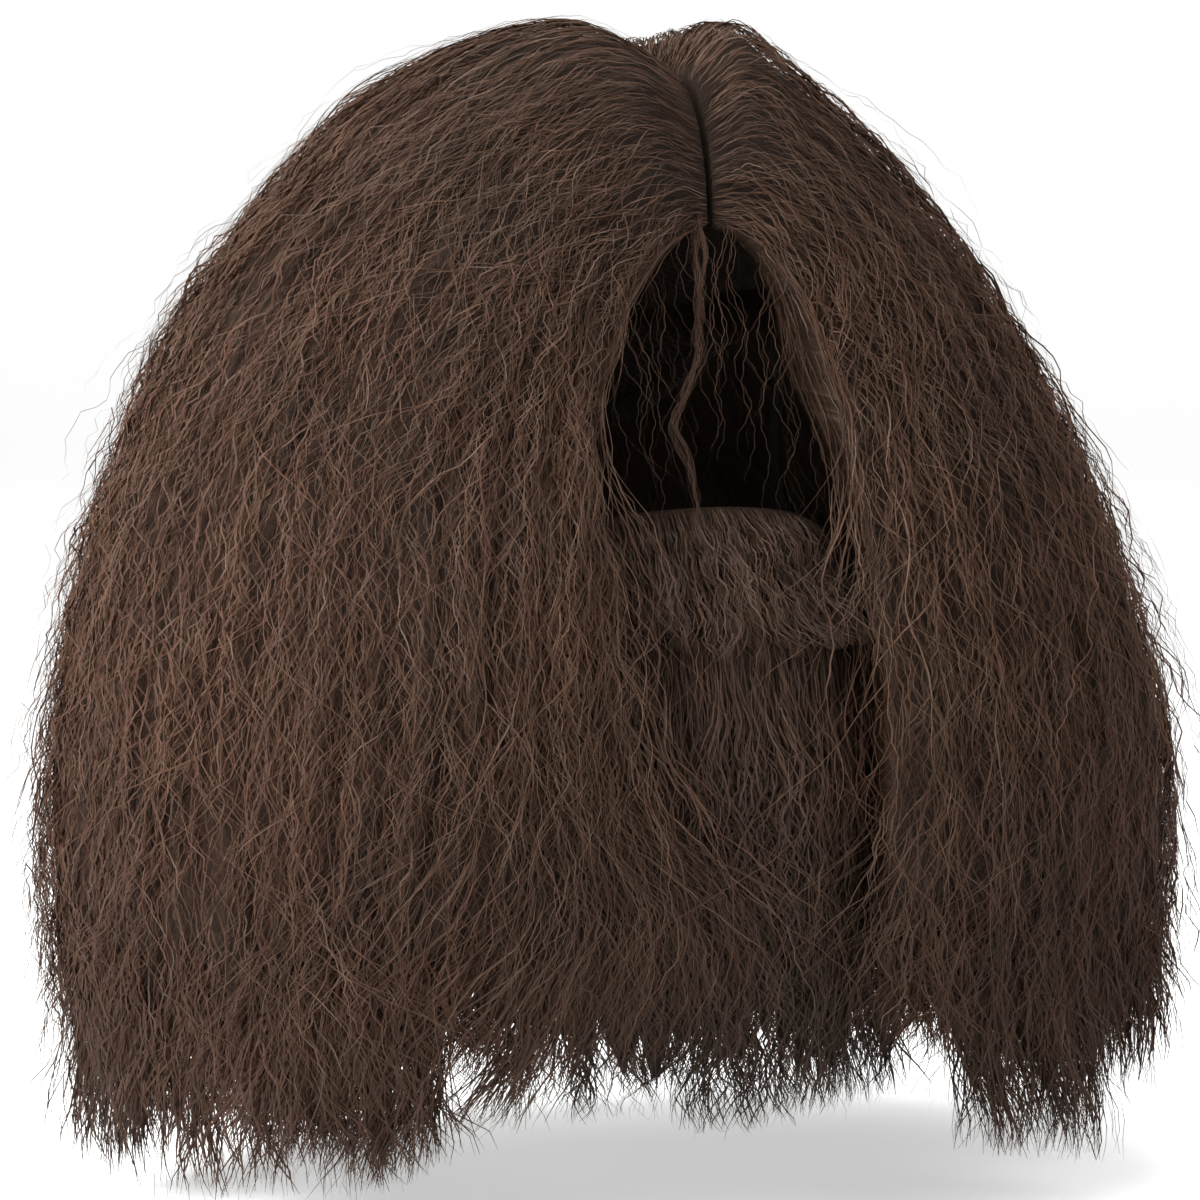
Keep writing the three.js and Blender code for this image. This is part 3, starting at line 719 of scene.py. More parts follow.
def grid_object(
    name: str, outer: np.ndarray, inner: np.ndarray | None, closed: bool = False
) -> bpy.types.Object:
    """A wall between an outer and an inner grid of points, or one sheet of faces.

    Args:
        name: The object's name.
        outer: The outer grid, as (column, row, axis).
        inner: The inner grid of the same shape, or None for a single sheet.
        closed: Whether the last column joins the first.

    Returns:
        The new object, with a map that gives the share across and the share down.
    """
    columns, rows = outer.shape[:2]
    number = np.arange(columns * rows).reshape(columns, rows)
    across = np.arange(columns if closed else columns - 1)
    near, far = number[across], number[(across + 1) % columns]
    sheet = np.stack([near[:, :-1], near[:, 1:], far[:, 1:], far[:, :-1]], -1).reshape(-1, 4)
    points, faces = outer.reshape(-1, 3), sheet
    if inner is not None:
        points = np.concatenate([points, inner.reshape(-1, 3)])
        shift = columns * rows
        top = np.stack([near[:, 0], far[:, 0], far[:, 0] + shift, near[:, 0] + shift], -1)
        low = np.stack([far[:, -1], near[:, -1], near[:, -1] + shift, far[:, -1] + shift], -1)
        faces = np.concatenate([sheet, sheet[:, ::-1] + shift, top, low])
        if not closed:
            start, end = number[0], number[-1]
            left = np.stack([start[1:], start[:-1], start[:-1] + shift, start[1:] + shift], -1)
            right = np.stack([end[:-1], end[1:], end[1:] + shift, end[:-1] + shift], -1)
            faces = np.concatenate([faces, left, right])
    shares = np.stack(lattice(0, 1, columns, rows), -1)
    shares = np.tile(shares.reshape(-1, 2), (len(points) // (columns * rows), 1))
    mesh = bpy.data.meshes.new(name)
    mesh.from_pydata(points.tolist(), [], faces.tolist())
    fibre = mesh.uv_layers.new(name="fibre")
    fibre.uv.foreach_set("vector", shares[faces.ravel()].astype(np.float32).ravel())
    mesh.shade_smooth()
    item = bpy.data.objects.new(name, mesh)
    bpy.context.scene.collection.objects.link(item)
    return item


class Combing:
    """The way a mass of hair is combed: its locks' ridges and sway, and the strands on it."""

    def __init__(self, surface: SurfaceMap, seed: int) -> None:
        """Prepares the fields that neighbours share.

        Args:
            surface: The measured form.
            seed: The random seed.
        """
        self.surface = surface
        self.rng = np.random.default_rng(seed)
        self.broad, self.fine, self.deep = Drift(seed + 1), Drift(seed + 2), Drift(seed + 3)

    def relief(self, round_: np.ndarray, at: np.ndarray) -> np.ndarray:
        """How far the locks stand out of the smooth form.

        Args:
            round_: Share of the way round.
            at: Share of a strand's length.

        Returns:
            Distances out of the surface.
        """
        return np.zeros_like(at)

    def lean(self, round_: np.ndarray, at: np.ndarray) -> np.ndarray:
        """How far the locks sway sideways.

        Args:
            round_: Share of the way round.
            at: Share of a strand's length.

        Returns:
            Distances along the surface.
        """
        return np.zeros_like(at)

    def tufts_at(self, round_: np.ndarray, tips: int) -> np.ndarray:
        """The number of the tuft at a place, and the share across the tuft.

        Args:
            round_: Share of the way round.
            tips: How many tufts go round.

        Returns:
            The number plus the share.
        """
        return round_ * tips + 0.3 * self.fine(round_ * 40, round_ * 0)

    def lumps_at(self, round_: np.ndarray, at: np.ndarray) -> np.ndarray:
        """The small lumps of the locks.

        Args:
            round_: Share of the way round.
            at: Share of a strand's length.

        Returns:
            Values from -1 to 1.
        """
        return self.deep(round_ * 60, at * 12)

    def starts(self, growth: Growth, count: int, low: float, high: float) -> tuple[np.ndarray, np.ndarray]:
        """Picks where strands start, evenly over the surface.

        Args:
            growth: The batch.
            count: How many strands.
            low: The lowest share of the way round.
            high: The highest share of the way round.

        Returns:
            The strands' shares of the way round and of the length.
        """
        rounds = self.rng.uniform(low, high, count * 6)
        ats = self.rng.uniform(growth.low_at, growth.high_at, count * 6)
        if growth.edge > 0:
            side = low if low == 0 else high
            rounds = np.abs(side - growth.edge * self.rng.uniform(0, 1, count * 6))
        weight = self.surface.read("girth", rounds, np.minimum(ats + 0.25, 1))
        kept = self.rng.choice(count * 6, count, replace=False, p=weight / weight.sum())
        return rounds[kept], ats[kept]

    def grow(
        self, growth: Growth, style: StrandStyle, count: int, low: float, high: float, into: Strands
    ) -> None:
        """Grows one batch of strands.

        Args:
            growth: The batch's place and length.
            style: How the strands wave.
            count: How many strands.
            low: The lowest share of the way round.
            high: The highest share of the way round.
            into: Where the strands go.
        """
        if count < 1:
            return
        batch = self.lay_out(growth, style, count, low, high)
        curls = self.curls(batch)
        lateral = self.wander(batch, curls)
        lift, raised, fine = self.rise(batch, curls)
        path, aside, out = self.bend(batch, lateral, lift)
        side = self.turn(path, aside, out, curls.crimp_wave)
        share = batch.share
        taper = (1 - 0.85 * share**4) * (0.4 + 0.6 * smooth(0, 0.05, share))
        spread = (self.rng.uniform(0.65, 1.25, count) * np.where(fine, 0.5, 1))[:, None]
        width = style.width * spread * taper * (0.6 + 0.4 * batch.loose)
        # The lift goes into the tint for painted light: raised strands are made warmer in the hair's tone.
        tint = np.stack([self.rng.uniform(0, 1, count), chance(batch.lock + 31), raised], -1)
        into.add(path, side, width, tint)

    def lay_out(self, growth: Growth, style: StrandStyle, count: int, low: float, high: float) -> Batch:
        """Lays a batch's strands on the form, each from its root to its tip.

        Args:
            growth: The batch's place and length.
            style: How the strands wave.
            count: How many strands.
            low: The lowest share of the way round.
            high: The highest share of the way round.

        Returns:
            The batch.
        """
        rng, surface = self.rng, self.surface
        start, begin = self.starts(growth, count, low, high)
        stretch = rng.uniform(0.8, 1.15, count)
        share = np.linspace(0, 1, style.steps(growth.length))[None, :]
        run = share * growth.length * stretch[:, None]
        reach = growth.length * stretch / surface.read("whole", start, begin)
        tip = np.floor(self.tufts_at(start, style.tips))
        ends = growth.end - style.ragged * chance(tip + TUFT_KEY) - 0.05 * rng.beta(1, 3, count)
        end = np.minimum(begin + reach, ends)
        begin = np.maximum(end - reach, np.minimum(begin, growth.low_at))
        at = begin[:, None] + (end - begin)[:, None] * share
        here = np.broadcast_to(start[:, None], at.shape)
        lock = np.floor(start * style.locks + 0.5 * self.broad(start * 50, begin * 5))
        girth, loose = surface.read("girth", here, at), smooth(0.0, 0.38, at)
        return Batch(growth, style, share, run, start, here, at, end, ends, tip, lock, girth, loose)

    def gather(self, batch: Batch) -> np.ndarray:
        """How far each strand is drawn sideways into its lock, and later into its tuft.

        Args:
            batch: The strands.

        Returns:
            Distances along the surface.
        """
        style, lock, tip, count = batch.style, batch.lock, batch.tip, len(batch.start)
        middle = (lock + 0.5 + 0.6 * (chance(lock) - 0.5)) / style.locks
        pull = style.clump * self.rng.uniform(0, 1, count) ** 0.6
        early = pull[:, None] * smooth(0.1, 1, batch.share)
        peak = (tip + 0.5 + 0.5 * (chance(tip + 3) - 0.5)) / style.tips
        ends = batch.ends[:, None]
        late = smooth(ends - 0.3, ends, batch.at) * self.rng.uniform(0.4, 1.0, count)[:, None]
        into_lock = (middle - batch.start)[:, None] * batch.girth * early
        return into_lock + (peak - batch.start)[:, None] * batch.girth * late

    def curls(self, batch: Batch) -> Curls:
        """The curl that a lock's strands share, each strand's own crimp, and what else moves it sideways.

        Args:
            batch: The strands.

        Returns:
            The waves and the other movement.
        """
        rng, style, lock, run = self.rng, batch.style, batch.lock, batch.run
        here, at, loose, count = batch.here, batch.at, batch.loose, len(batch.start)
        gather = self.gather(batch)
        apart = 9 * chance(batch.start)[:, None]
        sway = self.broad(here * 26, at * 7 + 3) + 0.8 * self.fine(here * 70 + apart, at * 17)
        sway = style.sway * loose * sway
        stray = style.stray * rng.normal(0, 1, count)[:, None] * (0.25 + 0.75 * loose) * run
        arc = np.sin(math.pi * 1.5 * batch.share)
        bow = style.stray * rng.normal(0, 1.3, count)[:, None] * loose * run * arc
        lock_wave = 2 * math.pi * (run / (style.curl_period * (0.7 + 0.6 * chance(lock + 5)))[:, None])
        lock_phase = 2 * math.pi * (chance(lock + 9) + 0.16 * rng.normal(0, 1, count))[:, None]
        curl = style.curl * (0.3 + 0.7 * loose) * (0.5 + chance(lock + 2))[:, None]
        period = style.crimp_period * rng.uniform(0.75, 1.35, count)
        phase = rng.uniform(0, 2 * math.pi, count)
        tilt = rng.uniform(0, 2 * math.pi, count)[:, None]
        crimp_wave = 2 * math.pi * run / period[:, None] + phase[:, None]
        crimp_wave = crimp_wave + 1.4 * self.fine(here * 211, at * 37)
        crimp = style.crimp * rng.uniform(0.35, 1.4, count)[:, None]
        crimp = crimp * (0.3 + 0.7 * loose) * np.sin(crimp_wave)
        return Curls(gather + sway + stray + bow, curl, lock_wave + lock_phase, crimp, tilt, crimp_wave)

    def wander(self, batch: Batch, curls: Curls) -> np.ndarray:
        """How far the strands move sideways in all.

        Args:
            batch: The strands.
            curls: Their waves.

        Returns:
            Distances along the surface.
        """
        at, count = batch.at, len(batch.start)
        lateral = curls.sideways + curls.curl * np.sin(curls.curl_wave) + curls.crimp * np.cos(curls.tilt)
        lateral = lateral * smooth(0, 0.12, at + 0.04) + self.lean(batch.here, at)
        onset = self.rng.uniform(0.36, 0.6, count)[:, None]
        spread = batch.growth.spread * self.rng.uniform(0, 1, count)[:, None] ** 1.5
        return lateral - spread * smooth(onset, 1.0, at)

    def rise(self, batch: Batch, curls: Curls) -> tuple[np.ndarray, np.ndarray, np.ndarray]:
        """How far the strands stand out of the surface.

        Args:
            batch: The strands.
            curls: Their waves.

        Returns:
            The distances out, each strand's lift from 0 to 1, and whether it is a fine stray one.
        """
        rng, style, share, run = self.rng, batch.style, batch.share, batch.run
        here, at, loose, count = batch.here, batch.at, batch.loose, len(batch.start)
        own = style.lift * rng.exponential(0.8, count).clip(0, 2.6)
        fly = np.where(rng.uniform(0, 1, count) < style.flyaways, rng.uniform(3, 16, count) * MM, 0)
        top = batch.growth.high_at < 0.02
        grown = smooth(0, style.root * (0.3 if top else 1), run)
        sink = style.sink * (1 - grown) * (0.25 if top else 1)
        lift = -sink + own[:, None] * grown * (0.3 + 0.7 * loose)
        lift = lift + fly[:, None] * smooth(0.3, 1, share) * loose
        flare = style.flare * chance(batch.tip * 3 + np.floor(batch.end * 9)) ** 2
        flare = flare[:, None] * smooth(0.45, 1, share) * smooth(0.25, 0.75, at)
        lift = lift + flare + 3 * MM * loose * self.broad(here * 31, at * 6)
        lift = lift + 0.6 * curls.curl * np.cos(curls.curl_wave) + curls.crimp * np.sin(curls.tilt)
        lift = lift + 2.2 * MM * loose * self.lumps_at(here, at)
        raised = np.clip(own / (2.6 * style.lift), 0, 1)
        return lift, raised, (fly > 0) | (own > 1.7 * style.lift)

    def bend(
        self, batch: Batch, lateral: np.ndarray, lift: np.ndarray
    ) -> tuple[np.ndarray, np.ndarray, np.ndarray]:
        """The strands' points, within the room that the wig has.

        Args:
            batch: The strands.
            lateral: How far they move along the surface.
            lift: How far they stand out of it.

        Returns:
            The points, and the surface's directions aside and out at each.
        """
        growth, surface, at = batch.growth, self.surface, batch.at
        place = batch.here + lateral / np.maximum(batch.girth, 0.05)
        kept = np.clip(place, 0, 1)
        past = (place - kept) * batch.girth * (0.06 + 0.94 * smooth(0.4, 0.6, at))
        depth = self.rng.uniform(growth.low_depth, growth.high_depth, len(batch.start))[:, None]
        lift = -lift if growth.inside else lift * (1 - 0.9 * depth)
        aside, out = surface.read("aside", kept, at), surface.read("out", kept, at)
        outer = surface.read("outer", kept, at) + out * self.relief(kept, at)[..., None]
        base = outer + (surface.read("inner", kept, at) - outer) * depth[..., None]
        path = base + surface.beyond(kept, at) + aside * past[..., None] + out * lift[..., None]
        return np.clip(path, ROOM[0], ROOM[1]), aside, out

    def turn(
        self, path: np.ndarray, aside: np.ndarray, out: np.ndarray, crimp_wave: np.ndarray
    ) -> np.ndarray:
        """The direction of each ribbon's width, square to the strand and twisting along it.

        Args:
            path: The strands' points.
            aside: The surface's direction aside at each point.
            out: The surface's direction out at each point.
            crimp_wave: The turn of the strand's crimp at each point.

        Returns:
            Vectors of length 1.
        """
        way = unit(np.gradient(path, axis=1))
        roll = self.rng.normal(0, 0.7, len(path))[:, None, None] + 0.5 * np.sin(crimp_wave * 0.23)[..., None]
        flat = np.cos(roll) * aside + np.sin(roll) * out
        return unit(flat - way * (flat * way).sum(-1, keepdims=True))


class HairCombing(Combing):
    """The combing of one of the five hair masses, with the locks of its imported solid."""

    DEPTH = 13 * MM
    SWAY = 9 * MM

    def __init__(self, surface: SurfaceMap, number: int, low: float, high: float, locks: int) -> None:
        """Keeps the mass's stretch of the way round.

        Args:
            surface: The measured hair form.
            number: Which mass it is, from the right edge of the face.
            low: Where it starts on the way round.
            high: Where it ends.
            locks: How many locks it has.
        """
        super().__init__(surface, 100 + 7 * number)
        self.number, self.low, self.high, self.locks = number, low, high, locks

    def locks_at(self, round_: np.ndarray) -> tuple[np.ndarray, np.ndarray]:
        """The share across the mass and the number of the lock at a place.

        Args:
            round_: Share of the way round.

        Returns:
            The share across and the lock's number.
        """
        across = np.clip((round_ - self.low) / (self.high - self.low), 0, 1)
        return across, np.minimum(np.floor(across * self.locks), self.locks - 1)

    def relief(self, round_: np.ndarray, at: np.ndarray) -> np.ndarray:
        """How far the locks stand out of the smooth form.

        Args:
            round_: Share of the way round.
            at: Share of a strand's length.

        Returns:
            Distances out of the surface.
        """
        across, lock = self.locks_at(round_)
        ridge = np.abs(np.sin(math.pi * across * self.locks))
        key = self.number * 31 + lock
        height = 0.45 * self.DEPTH * (0.55 + 0.45 * chance(key + 7)) * ridge
        return height * smooth(0, 0.5, at) * (1 - 0.5 * smooth(0.75, 1, at))

    def lean(self, round_: np.ndarray, at: np.ndarray) -> np.ndarray:
        """How far the locks sway sideways.

        Args:
            round_: Share of the way round.
            at: Share of a strand's length.

        Returns:
            Distances along the surface.
        """
        across, lock = self.locks_at(round_)
        key = self.number * 31 + lock
        wave = np.sin(2 * math.pi * (2.4 * at + 0.2 * chance(key + 13)))
        return self.SWAY * np.sin(math.pi * across) * smooth(0, 1, at) * wave


def shader_group(name: str, inputs: dict[str, float | tuple], outputs: dict[str, str]) -> bpy.types.NodeTree:
    """An empty shader node group with named sockets.

    Args:
        name: The group's name.
        inputs: Each input's name and default, a number or a colour.
        outputs: Each output's name and socket type.

    Returns:
        The group, with its input and output nodes in place.
    """
    group = bpy.data.node_groups.new(name, "ShaderNodeTree")
    for label, default in inputs.items():
        kind = "NodeSocketFloat" if isinstance(default, float) else "NodeSocketColor"
        kind = "NodeSocketVector" if isinstance(default, tuple) and len(default) == 3 else kind
        socket = group.interface.new_socket(name=label, in_out="INPUT", socket_type=kind)
        socket.default_value = default
    for label, kind in outputs.items():
        group.interface.new_socket(name=label, in_out="OUTPUT", socket_type=kind)
    group.nodes.new("NodeGroupInput").name = "in"
    group.nodes.new("NodeGroupOutput").name = "out"
    return group


class Graph:
    """A short way to place and join nodes in a tree."""

    def __init__(self, tree: bpy.types.NodeTree) -> None:
        """Keeps the tree.

        Args:
            tree: The tree to work in.
        """
        self.tree = tree

    def node(self, kind: str, links: dict | None = None, **settings: object) -> bpy.types.Node:
        """Adds a node.

        Args:
            kind: The node's type name.
            links: For each input, by name or number, a value or another node's output.
            settings: The node's own properties.

        Returns:
            The new node.
        """
        made = self.tree.nodes.new(kind)
        for name, value in settings.items():
            setattr(made, name, value)
        for name, value in (links or {}).items():
            socket = made.inputs[name]
            if isinstance(value, bpy.types.NodeSocket):
                self.tree.links.new(value, socket)
            else:
                socket.default_value = value
        return made

    def math(self, operation: str, *values: object, **settings: object) -> bpy.types.NodeSocket:
        """A Math node's output.

        Args:
            operation: The node's operation.
            values: Its inputs, numbers or outputs of other nodes.
            settings: The node's own properties.

        Returns:
            The node's output.
        """
        made = self.node("ShaderNodeMath", dict(enumerate(values)), operation=operation, **settings)
        return made.outputs[0]

    def ramp(self, value: object, low: float, high: float, start: float, end: float) -> bpy.types.NodeSocket:
        """A Map Range node's output.

        Args:
            value: What is read.
            low: The value that gives start.
            high: The value that gives end.
            start: The output at low and below.
            end: The output at high and above.

        Returns:
            The node's output.
        """
        made = self.node("ShaderNodeMapRange", {"Value": value, 1: low, 2: high, 3: start, 4: end})
        return made.outputs[0]

    def noise(
        self, place: object, scale: object, detail: float, roughness: float = 0.5
    ) -> bpy.types.NodeSocket:
        """A Noise Texture node's value.

        Args:
            place: Where it is read.
            scale: How fine it is.
            detail: How many finer layers it has.
            roughness: How strong the finer layers are.

        Returns:
            The node's output.
        """
        links = {"Vector": place, "Scale": scale, "Detail": detail, "Roughness": roughness}
        return self.node("ShaderNodeTexNoise", links).outputs["Fac"]

    def mix(self, share: object, first: object, second: object) -> bpy.types.NodeSocket:
        """A mix of two colours.

        Args:
            share: How much of the second colour.
            first: The first colour.
            second: The second colour.

        Returns:
            The mixed colour.
        """
        made = self.node("ShaderNodeMix", {0: share, 6: first, 7: second}, data_type="RGBA")
        return made.outputs[2]


def strand_tone_group() -> bpy.types.NodeTree:
    """The tone of hair from its strand, its lock and its lift, with painted light through the hair far to the
    sides and on raised strands, and painted shade towards the bottom.

    Returns:
        The shader group.
    """
    group = shader_group(
        "strand tone",
        {
            "Strand": 0.5,
            "Lock": 0.5,
            "Lift": 0.0,
            "Deep": (0.01, 0.01, 0.01, 1.0),
            "Main": (0.05, 0.03, 0.02, 1.0),
            "Warm": (0.08, 0.04, 0.03, 1.0),
            "Light": (0.15, 0.1, 0.08, 1.0),
            "Mottle Scale": 18.0,
        },
        {"Color": "NodeSocketColor", "Roughness": "NodeSocketFloat", "Height": "NodeSocketFloat"},
    )
    graph = Graph(group)
    source, sink = group.nodes["in"].outputs, group.nodes["out"].inputs
    place = graph.node("ShaderNodeTexCoord").outputs["Object"]
    mottle = graph.noise(place, source["Mottle Scale"], 3.0, 0.6)
    fuzz = graph.noise(place, 700.0, 2.0)
    spot = graph.node("ShaderNodeSeparateXYZ", {0: place}).outputs
    # Painted light: hair far out to either side is mixed towards the warm colour, as light shining through
    # thin fringes.
    rim = graph.ramp(graph.math("ABSOLUTE", spot[0]), 0.11, 0.26, 0.0, 0.55)
    # Painted shade: the hair darkens towards the bottom, down to 0.6 of its brightness at 0.43 m below the
    # crown.
    low = graph.ramp(spot[2], -0.43, -0.24, 0.6, 1.0)
    patch = graph.ramp(mottle, 0.35, 0.65, 0.0, 1.0)
    depth = graph.math("MULTIPLY", graph.math("SUBTRACT", 1.0, source["Strand"]), 0.55)
    tone = graph.mix(depth, source["Main"], source["Deep"])
    # The warm mix is partly the hair's own patchy tone and partly painted light: raised strands and the sides
    # are warmer, as light shining through them.
    warm = graph.math("MULTIPLY", graph.math("ADD", patch, source["Lift"]), 0.4)
    warm = graph.math("ADD", warm, rim, use_clamp=True)
    tone = graph.mix(warm, tone, source["Warm"])
    grey = graph.ramp(source["Strand"], 0.66, 0.95, 0.0, 0.6)
    tone = graph.mix(grey, tone, source["Light"])
    # The brightness: the lock's own tone and a fine random tone, times the painted shade towards the bottom.
    shade = graph.math("MULTIPLY_ADD", source["Lock"], 0.35, 0.8)
    shade = graph.math("MULTIPLY", shade, graph.math("MULTIPLY_ADD", fuzz, 0.4, 0.8))
    shade = graph.math("MULTIPLY", shade, low)
    bright = graph.node("ShaderNodeVectorMath", {0: tone}, operation="SCALE")
    group.links.new(shade, bright.inputs["Scale"])
    group.links.new(bright.outputs[0], sink["Color"])
    group.links.new(graph.math("MULTIPLY_ADD", fuzz, 0.3, 0.38), sink["Roughness"])
    group.links.new(fuzz, sink["Height"])
    return group


def split_hairs_group() -> bpy.types.NodeTree:
    """Splits a ribbon of hair into a few painted hairs with painted shade in the gaps between them.

    Returns:
        The shader group.
    """
    group = shader_group(
        "split hairs",
        {"Map": (0.0, 0.0, 0.0), "Hairs": 2.4, "Waver": 0.5},
        {"Tone": "NodeSocketFloat", "Shaded Gap": "NodeSocketFloat", "Height": "NodeSocketFloat"},
    )
    graph = Graph(group)
    source, sink = group.nodes["in"].outputs, group.nodes["out"].inputs
    split = graph.node("ShaderNodeSeparateXYZ", {0: source["Map"]}).outputs
    number = graph.math("FLOOR", split[0])
    lane = graph.node("ShaderNodeCombineXYZ", {0: number, 1: split[1]}).outputs[0]
    drift = graph.noise(lane, 1.3, 1.0)
    spot = graph.math("MULTIPLY_ADD", drift, source["Waver"], graph.math("SUBTRACT", split[0], number))
    hair = graph.math("MULTIPLY", spot, source["Hairs"])
    cell = graph.node("ShaderNodeCombineXYZ", {0: graph.math("FLOOR", hair), 1: number}).outputs[0]
    tone = graph.node("ShaderNodeTexWhiteNoise", {"Vector": cell}).outputs["Value"]
    ridge = graph.math("ABSOLUTE", graph.math("SUBTRACT", graph.math("FRACT", hair), 0.5))
    # Painted shade: the gap between two painted hairs, which later darkens the ribbon's colour.
    gap = graph.ramp(ridge, 0.27, 0.45, 0.0, 1.0)
    group.links.new(tone, sink["Tone"])
    group.links.new(gap, sink["Shaded Gap"])
    group.links.new(graph.math("SUBTRACT", 1.0, gap), sink["Height"])
    return group


def fibre_streaks_group() -> bpy.types.NodeTree:
    """Streaks that run down a map's second axis with a crimp, as packed strands do.

    Returns:
        The shader group.
    """
    group = shader_group(
        "fibre streaks",
        {"Map": (0.0, 0.0, 0.0), "Streaks": 300.0, "Crimps": 60.0, "Crimp": 0.002},
        {"Strand": "NodeSocketFloat", "Lock": "NodeSocketFloat", "Height": "NodeSocketFloat"},
    )
    graph = Graph(group)
    source, sink = group.nodes["in"].outputs, group.nodes["out"].inputs
    split = graph.node("ShaderNodeSeparateXYZ", {0: source["Map"]}).outputs
    drift = graph.noise(source["Map"], 9.0, 3.0)
    turn = graph.math("MULTIPLY", graph.math("MULTIPLY_ADD", drift, 0.3, split[1]), source["Crimps"])
    wave = graph.math("MULTIPLY", graph.math("SINE", graph.math("MULTIPLY", turn, 6.283)), source["Crimp"])
    across = graph.math("ADD", graph.math("ADD", split[0], wave), graph.math("MULTIPLY", drift, 0.05))
    column = graph.math("MULTIPLY", across, source["Streaks"])
    place = graph.math("MULTIPLY", split[1], 5.0)
    lane = graph.node("ShaderNodeCombineXYZ", {0: column, 1: place}).outputs[0]
    strand = graph.ramp(graph.noise(lane, 1.0, 4.0, 0.7), 0.3, 0.7, 0.0, 1.0)
    broad = graph.node("ShaderNodeVectorMath", {0: lane, 1: (0.08, 0.5, 1.0)}, operation="MULTIPLY")
    group.links.new(strand, sink["Strand"])
    group.links.new(graph.noise(broad.outputs[0], 1.0, 2.0), sink["Lock"])
    group.links.new(strand, sink["Height"])
    return group


def fine_ribs_group() -> bpy.types.NodeTree:
    """Fine ribs or knit over a map, with a little fluff.

    Returns:
        The shader group.
    """
    group = shader_group(
        "fine ribs",
        {
            "Map": (0.0, 0.0, 0.0),
            "Across": 40.0,
            "Down": 40.0,
            "Dark": (0.0, 0.0, 0.0, 1.0),
            "Pale": (0.1, 0.1, 0.1, 1.0),
        },
        {"Color": "NodeSocketColor", "Height": "NodeSocketFloat", "Roughness": "NodeSocketFloat"},
    )
    graph = Graph(group)
    source, sink = group.nodes["in"].outputs, group.nodes["out"].inputs
    split = graph.node("ShaderNodeSeparateXYZ", {0: source["Map"]}).outputs
    waves = []
    for place, label in ((split[0], "Across"), (split[1], "Down")):
        turn = graph.math("MULTIPLY", graph.math("MULTIPLY", place, source[label]), 6.283)
        waves.append(graph.math("SINE", turn))
    rib = graph.math("MULTIPLY_ADD", graph.math("MULTIPLY", *waves), 0.5, 0.5)
    fluff = graph.noise(source["Map"], 220.0, 4.0)
    height = graph.math("MULTIPLY_ADD", fluff, 0.5, graph.math("MULTIPLY", rib, 0.7))
    group.links.new(graph.mix(height, source["Dark"], source["Pale"]), sink["Color"])
    group.links.new(height, sink["Height"])
    group.links.new(graph.math("MULTIPLY_ADD", fluff, 0.2, 0.7), sink["Roughness"])
    return group


class Groups:
    """The shader groups, each built once."""

    TONE = strand_tone_group()
    HAIRS = split_hairs_group()
    STREAKS = fibre_streaks_group()
    RIBS = fine_ribs_group()


@dataclass(frozen=True)
class HairFinish:
    """The finish of hair: strands when it is for ribbons, or packed hair for an under-body."""

    name: str
    deep: tuple[float, float, float, float]
    main: tuple[float, float, float, float]
    warm: tuple[float, float, float, float]
    light: tuple[float, float, float, float]
    packed: bool = False
    streaks: float = 300.0
    crimps: float = 60.0
    specular: float = 0.16

    def build(self) -> bpy.types.Material:
        """Makes the material.

        Returns:
            The new material.
        """
        material = bpy.data.materials.new(self.name)
        material.use_nodes = True
        tree = material.node_tree
        graph = Graph(tree)
        shader = tree.nodes["Principled BSDF"]
        shader.inputs["Specular IOR Level"].default_value = self.specular
        if self.packed:
            place = graph.node("ShaderNodeUVMap", uv_map="fibre").outputs[0]
            marks = graph.node("ShaderNodeGroup", node_tree=Groups.STREAKS)
            tree.links.new(place, marks.inputs["Map"])
            marks.inputs["Streaks"].default_value = self.streaks
            marks.inputs["Crimps"].default_value = self.crimps
            strand, lock, lift = marks.outputs["Strand"], marks.outputs["Lock"], 0.0
        else:
            tint = graph.node("ShaderNodeAttribute", attribute_name="tint")
            parts = graph.node("ShaderNodeSeparateXYZ", {0: tint.outputs["Vector"]}).outputs
            marks = graph.node("ShaderNodeGroup", node_tree=Groups.HAIRS)
            tree.links.new(graph.node("ShaderNodeUVMap", uv_map="fibre").outputs[0], marks.inputs["Map"])
            half = graph.math("MULTIPLY", parts[0], 0.5)
            strand = graph.math("MULTIPLY_ADD", marks.outputs["Tone"], 0.5, half)
            lock, lift = parts[1], parts[2]
        tone = graph.node("ShaderNodeGroup", node_tree=Groups.TONE)
        for name, value in {"Strand": strand, "Lock": lock, "Lift": lift}.items():
            if isinstance(value, float):
                tone.inputs[name].default_value = value
            else:
                tree.links.new(value, tone.inputs[name])
        for name in ("Deep", "Main", "Warm", "Light"):
            tone.inputs[name].default_value = getattr(self, name.lower())
        bump = graph.node("ShaderNodeBump", {"Strength": 1.0 if self.packed else 0.25, "Distance": 1.2 * MM})
        tree.links.new(marks.outputs["Height"], bump.inputs["Height"])
        color = tone.outputs["Color"]
        if not self.packed:
            # Painted shade: the gaps between the painted hairs are darkened towards the deep colour.
            color = graph.mix(graph.math("MULTIPLY", marks.outputs["Shaded Gap"], 0.85), color, self.deep)
        tree.links.new(color, shader.inputs["Base Color"])
        tree.links.new(tone.outputs["Roughness"], shader.inputs["Roughness"])
        tree.links.new(bump.outputs[0], shader.inputs["Normal"])
        return material


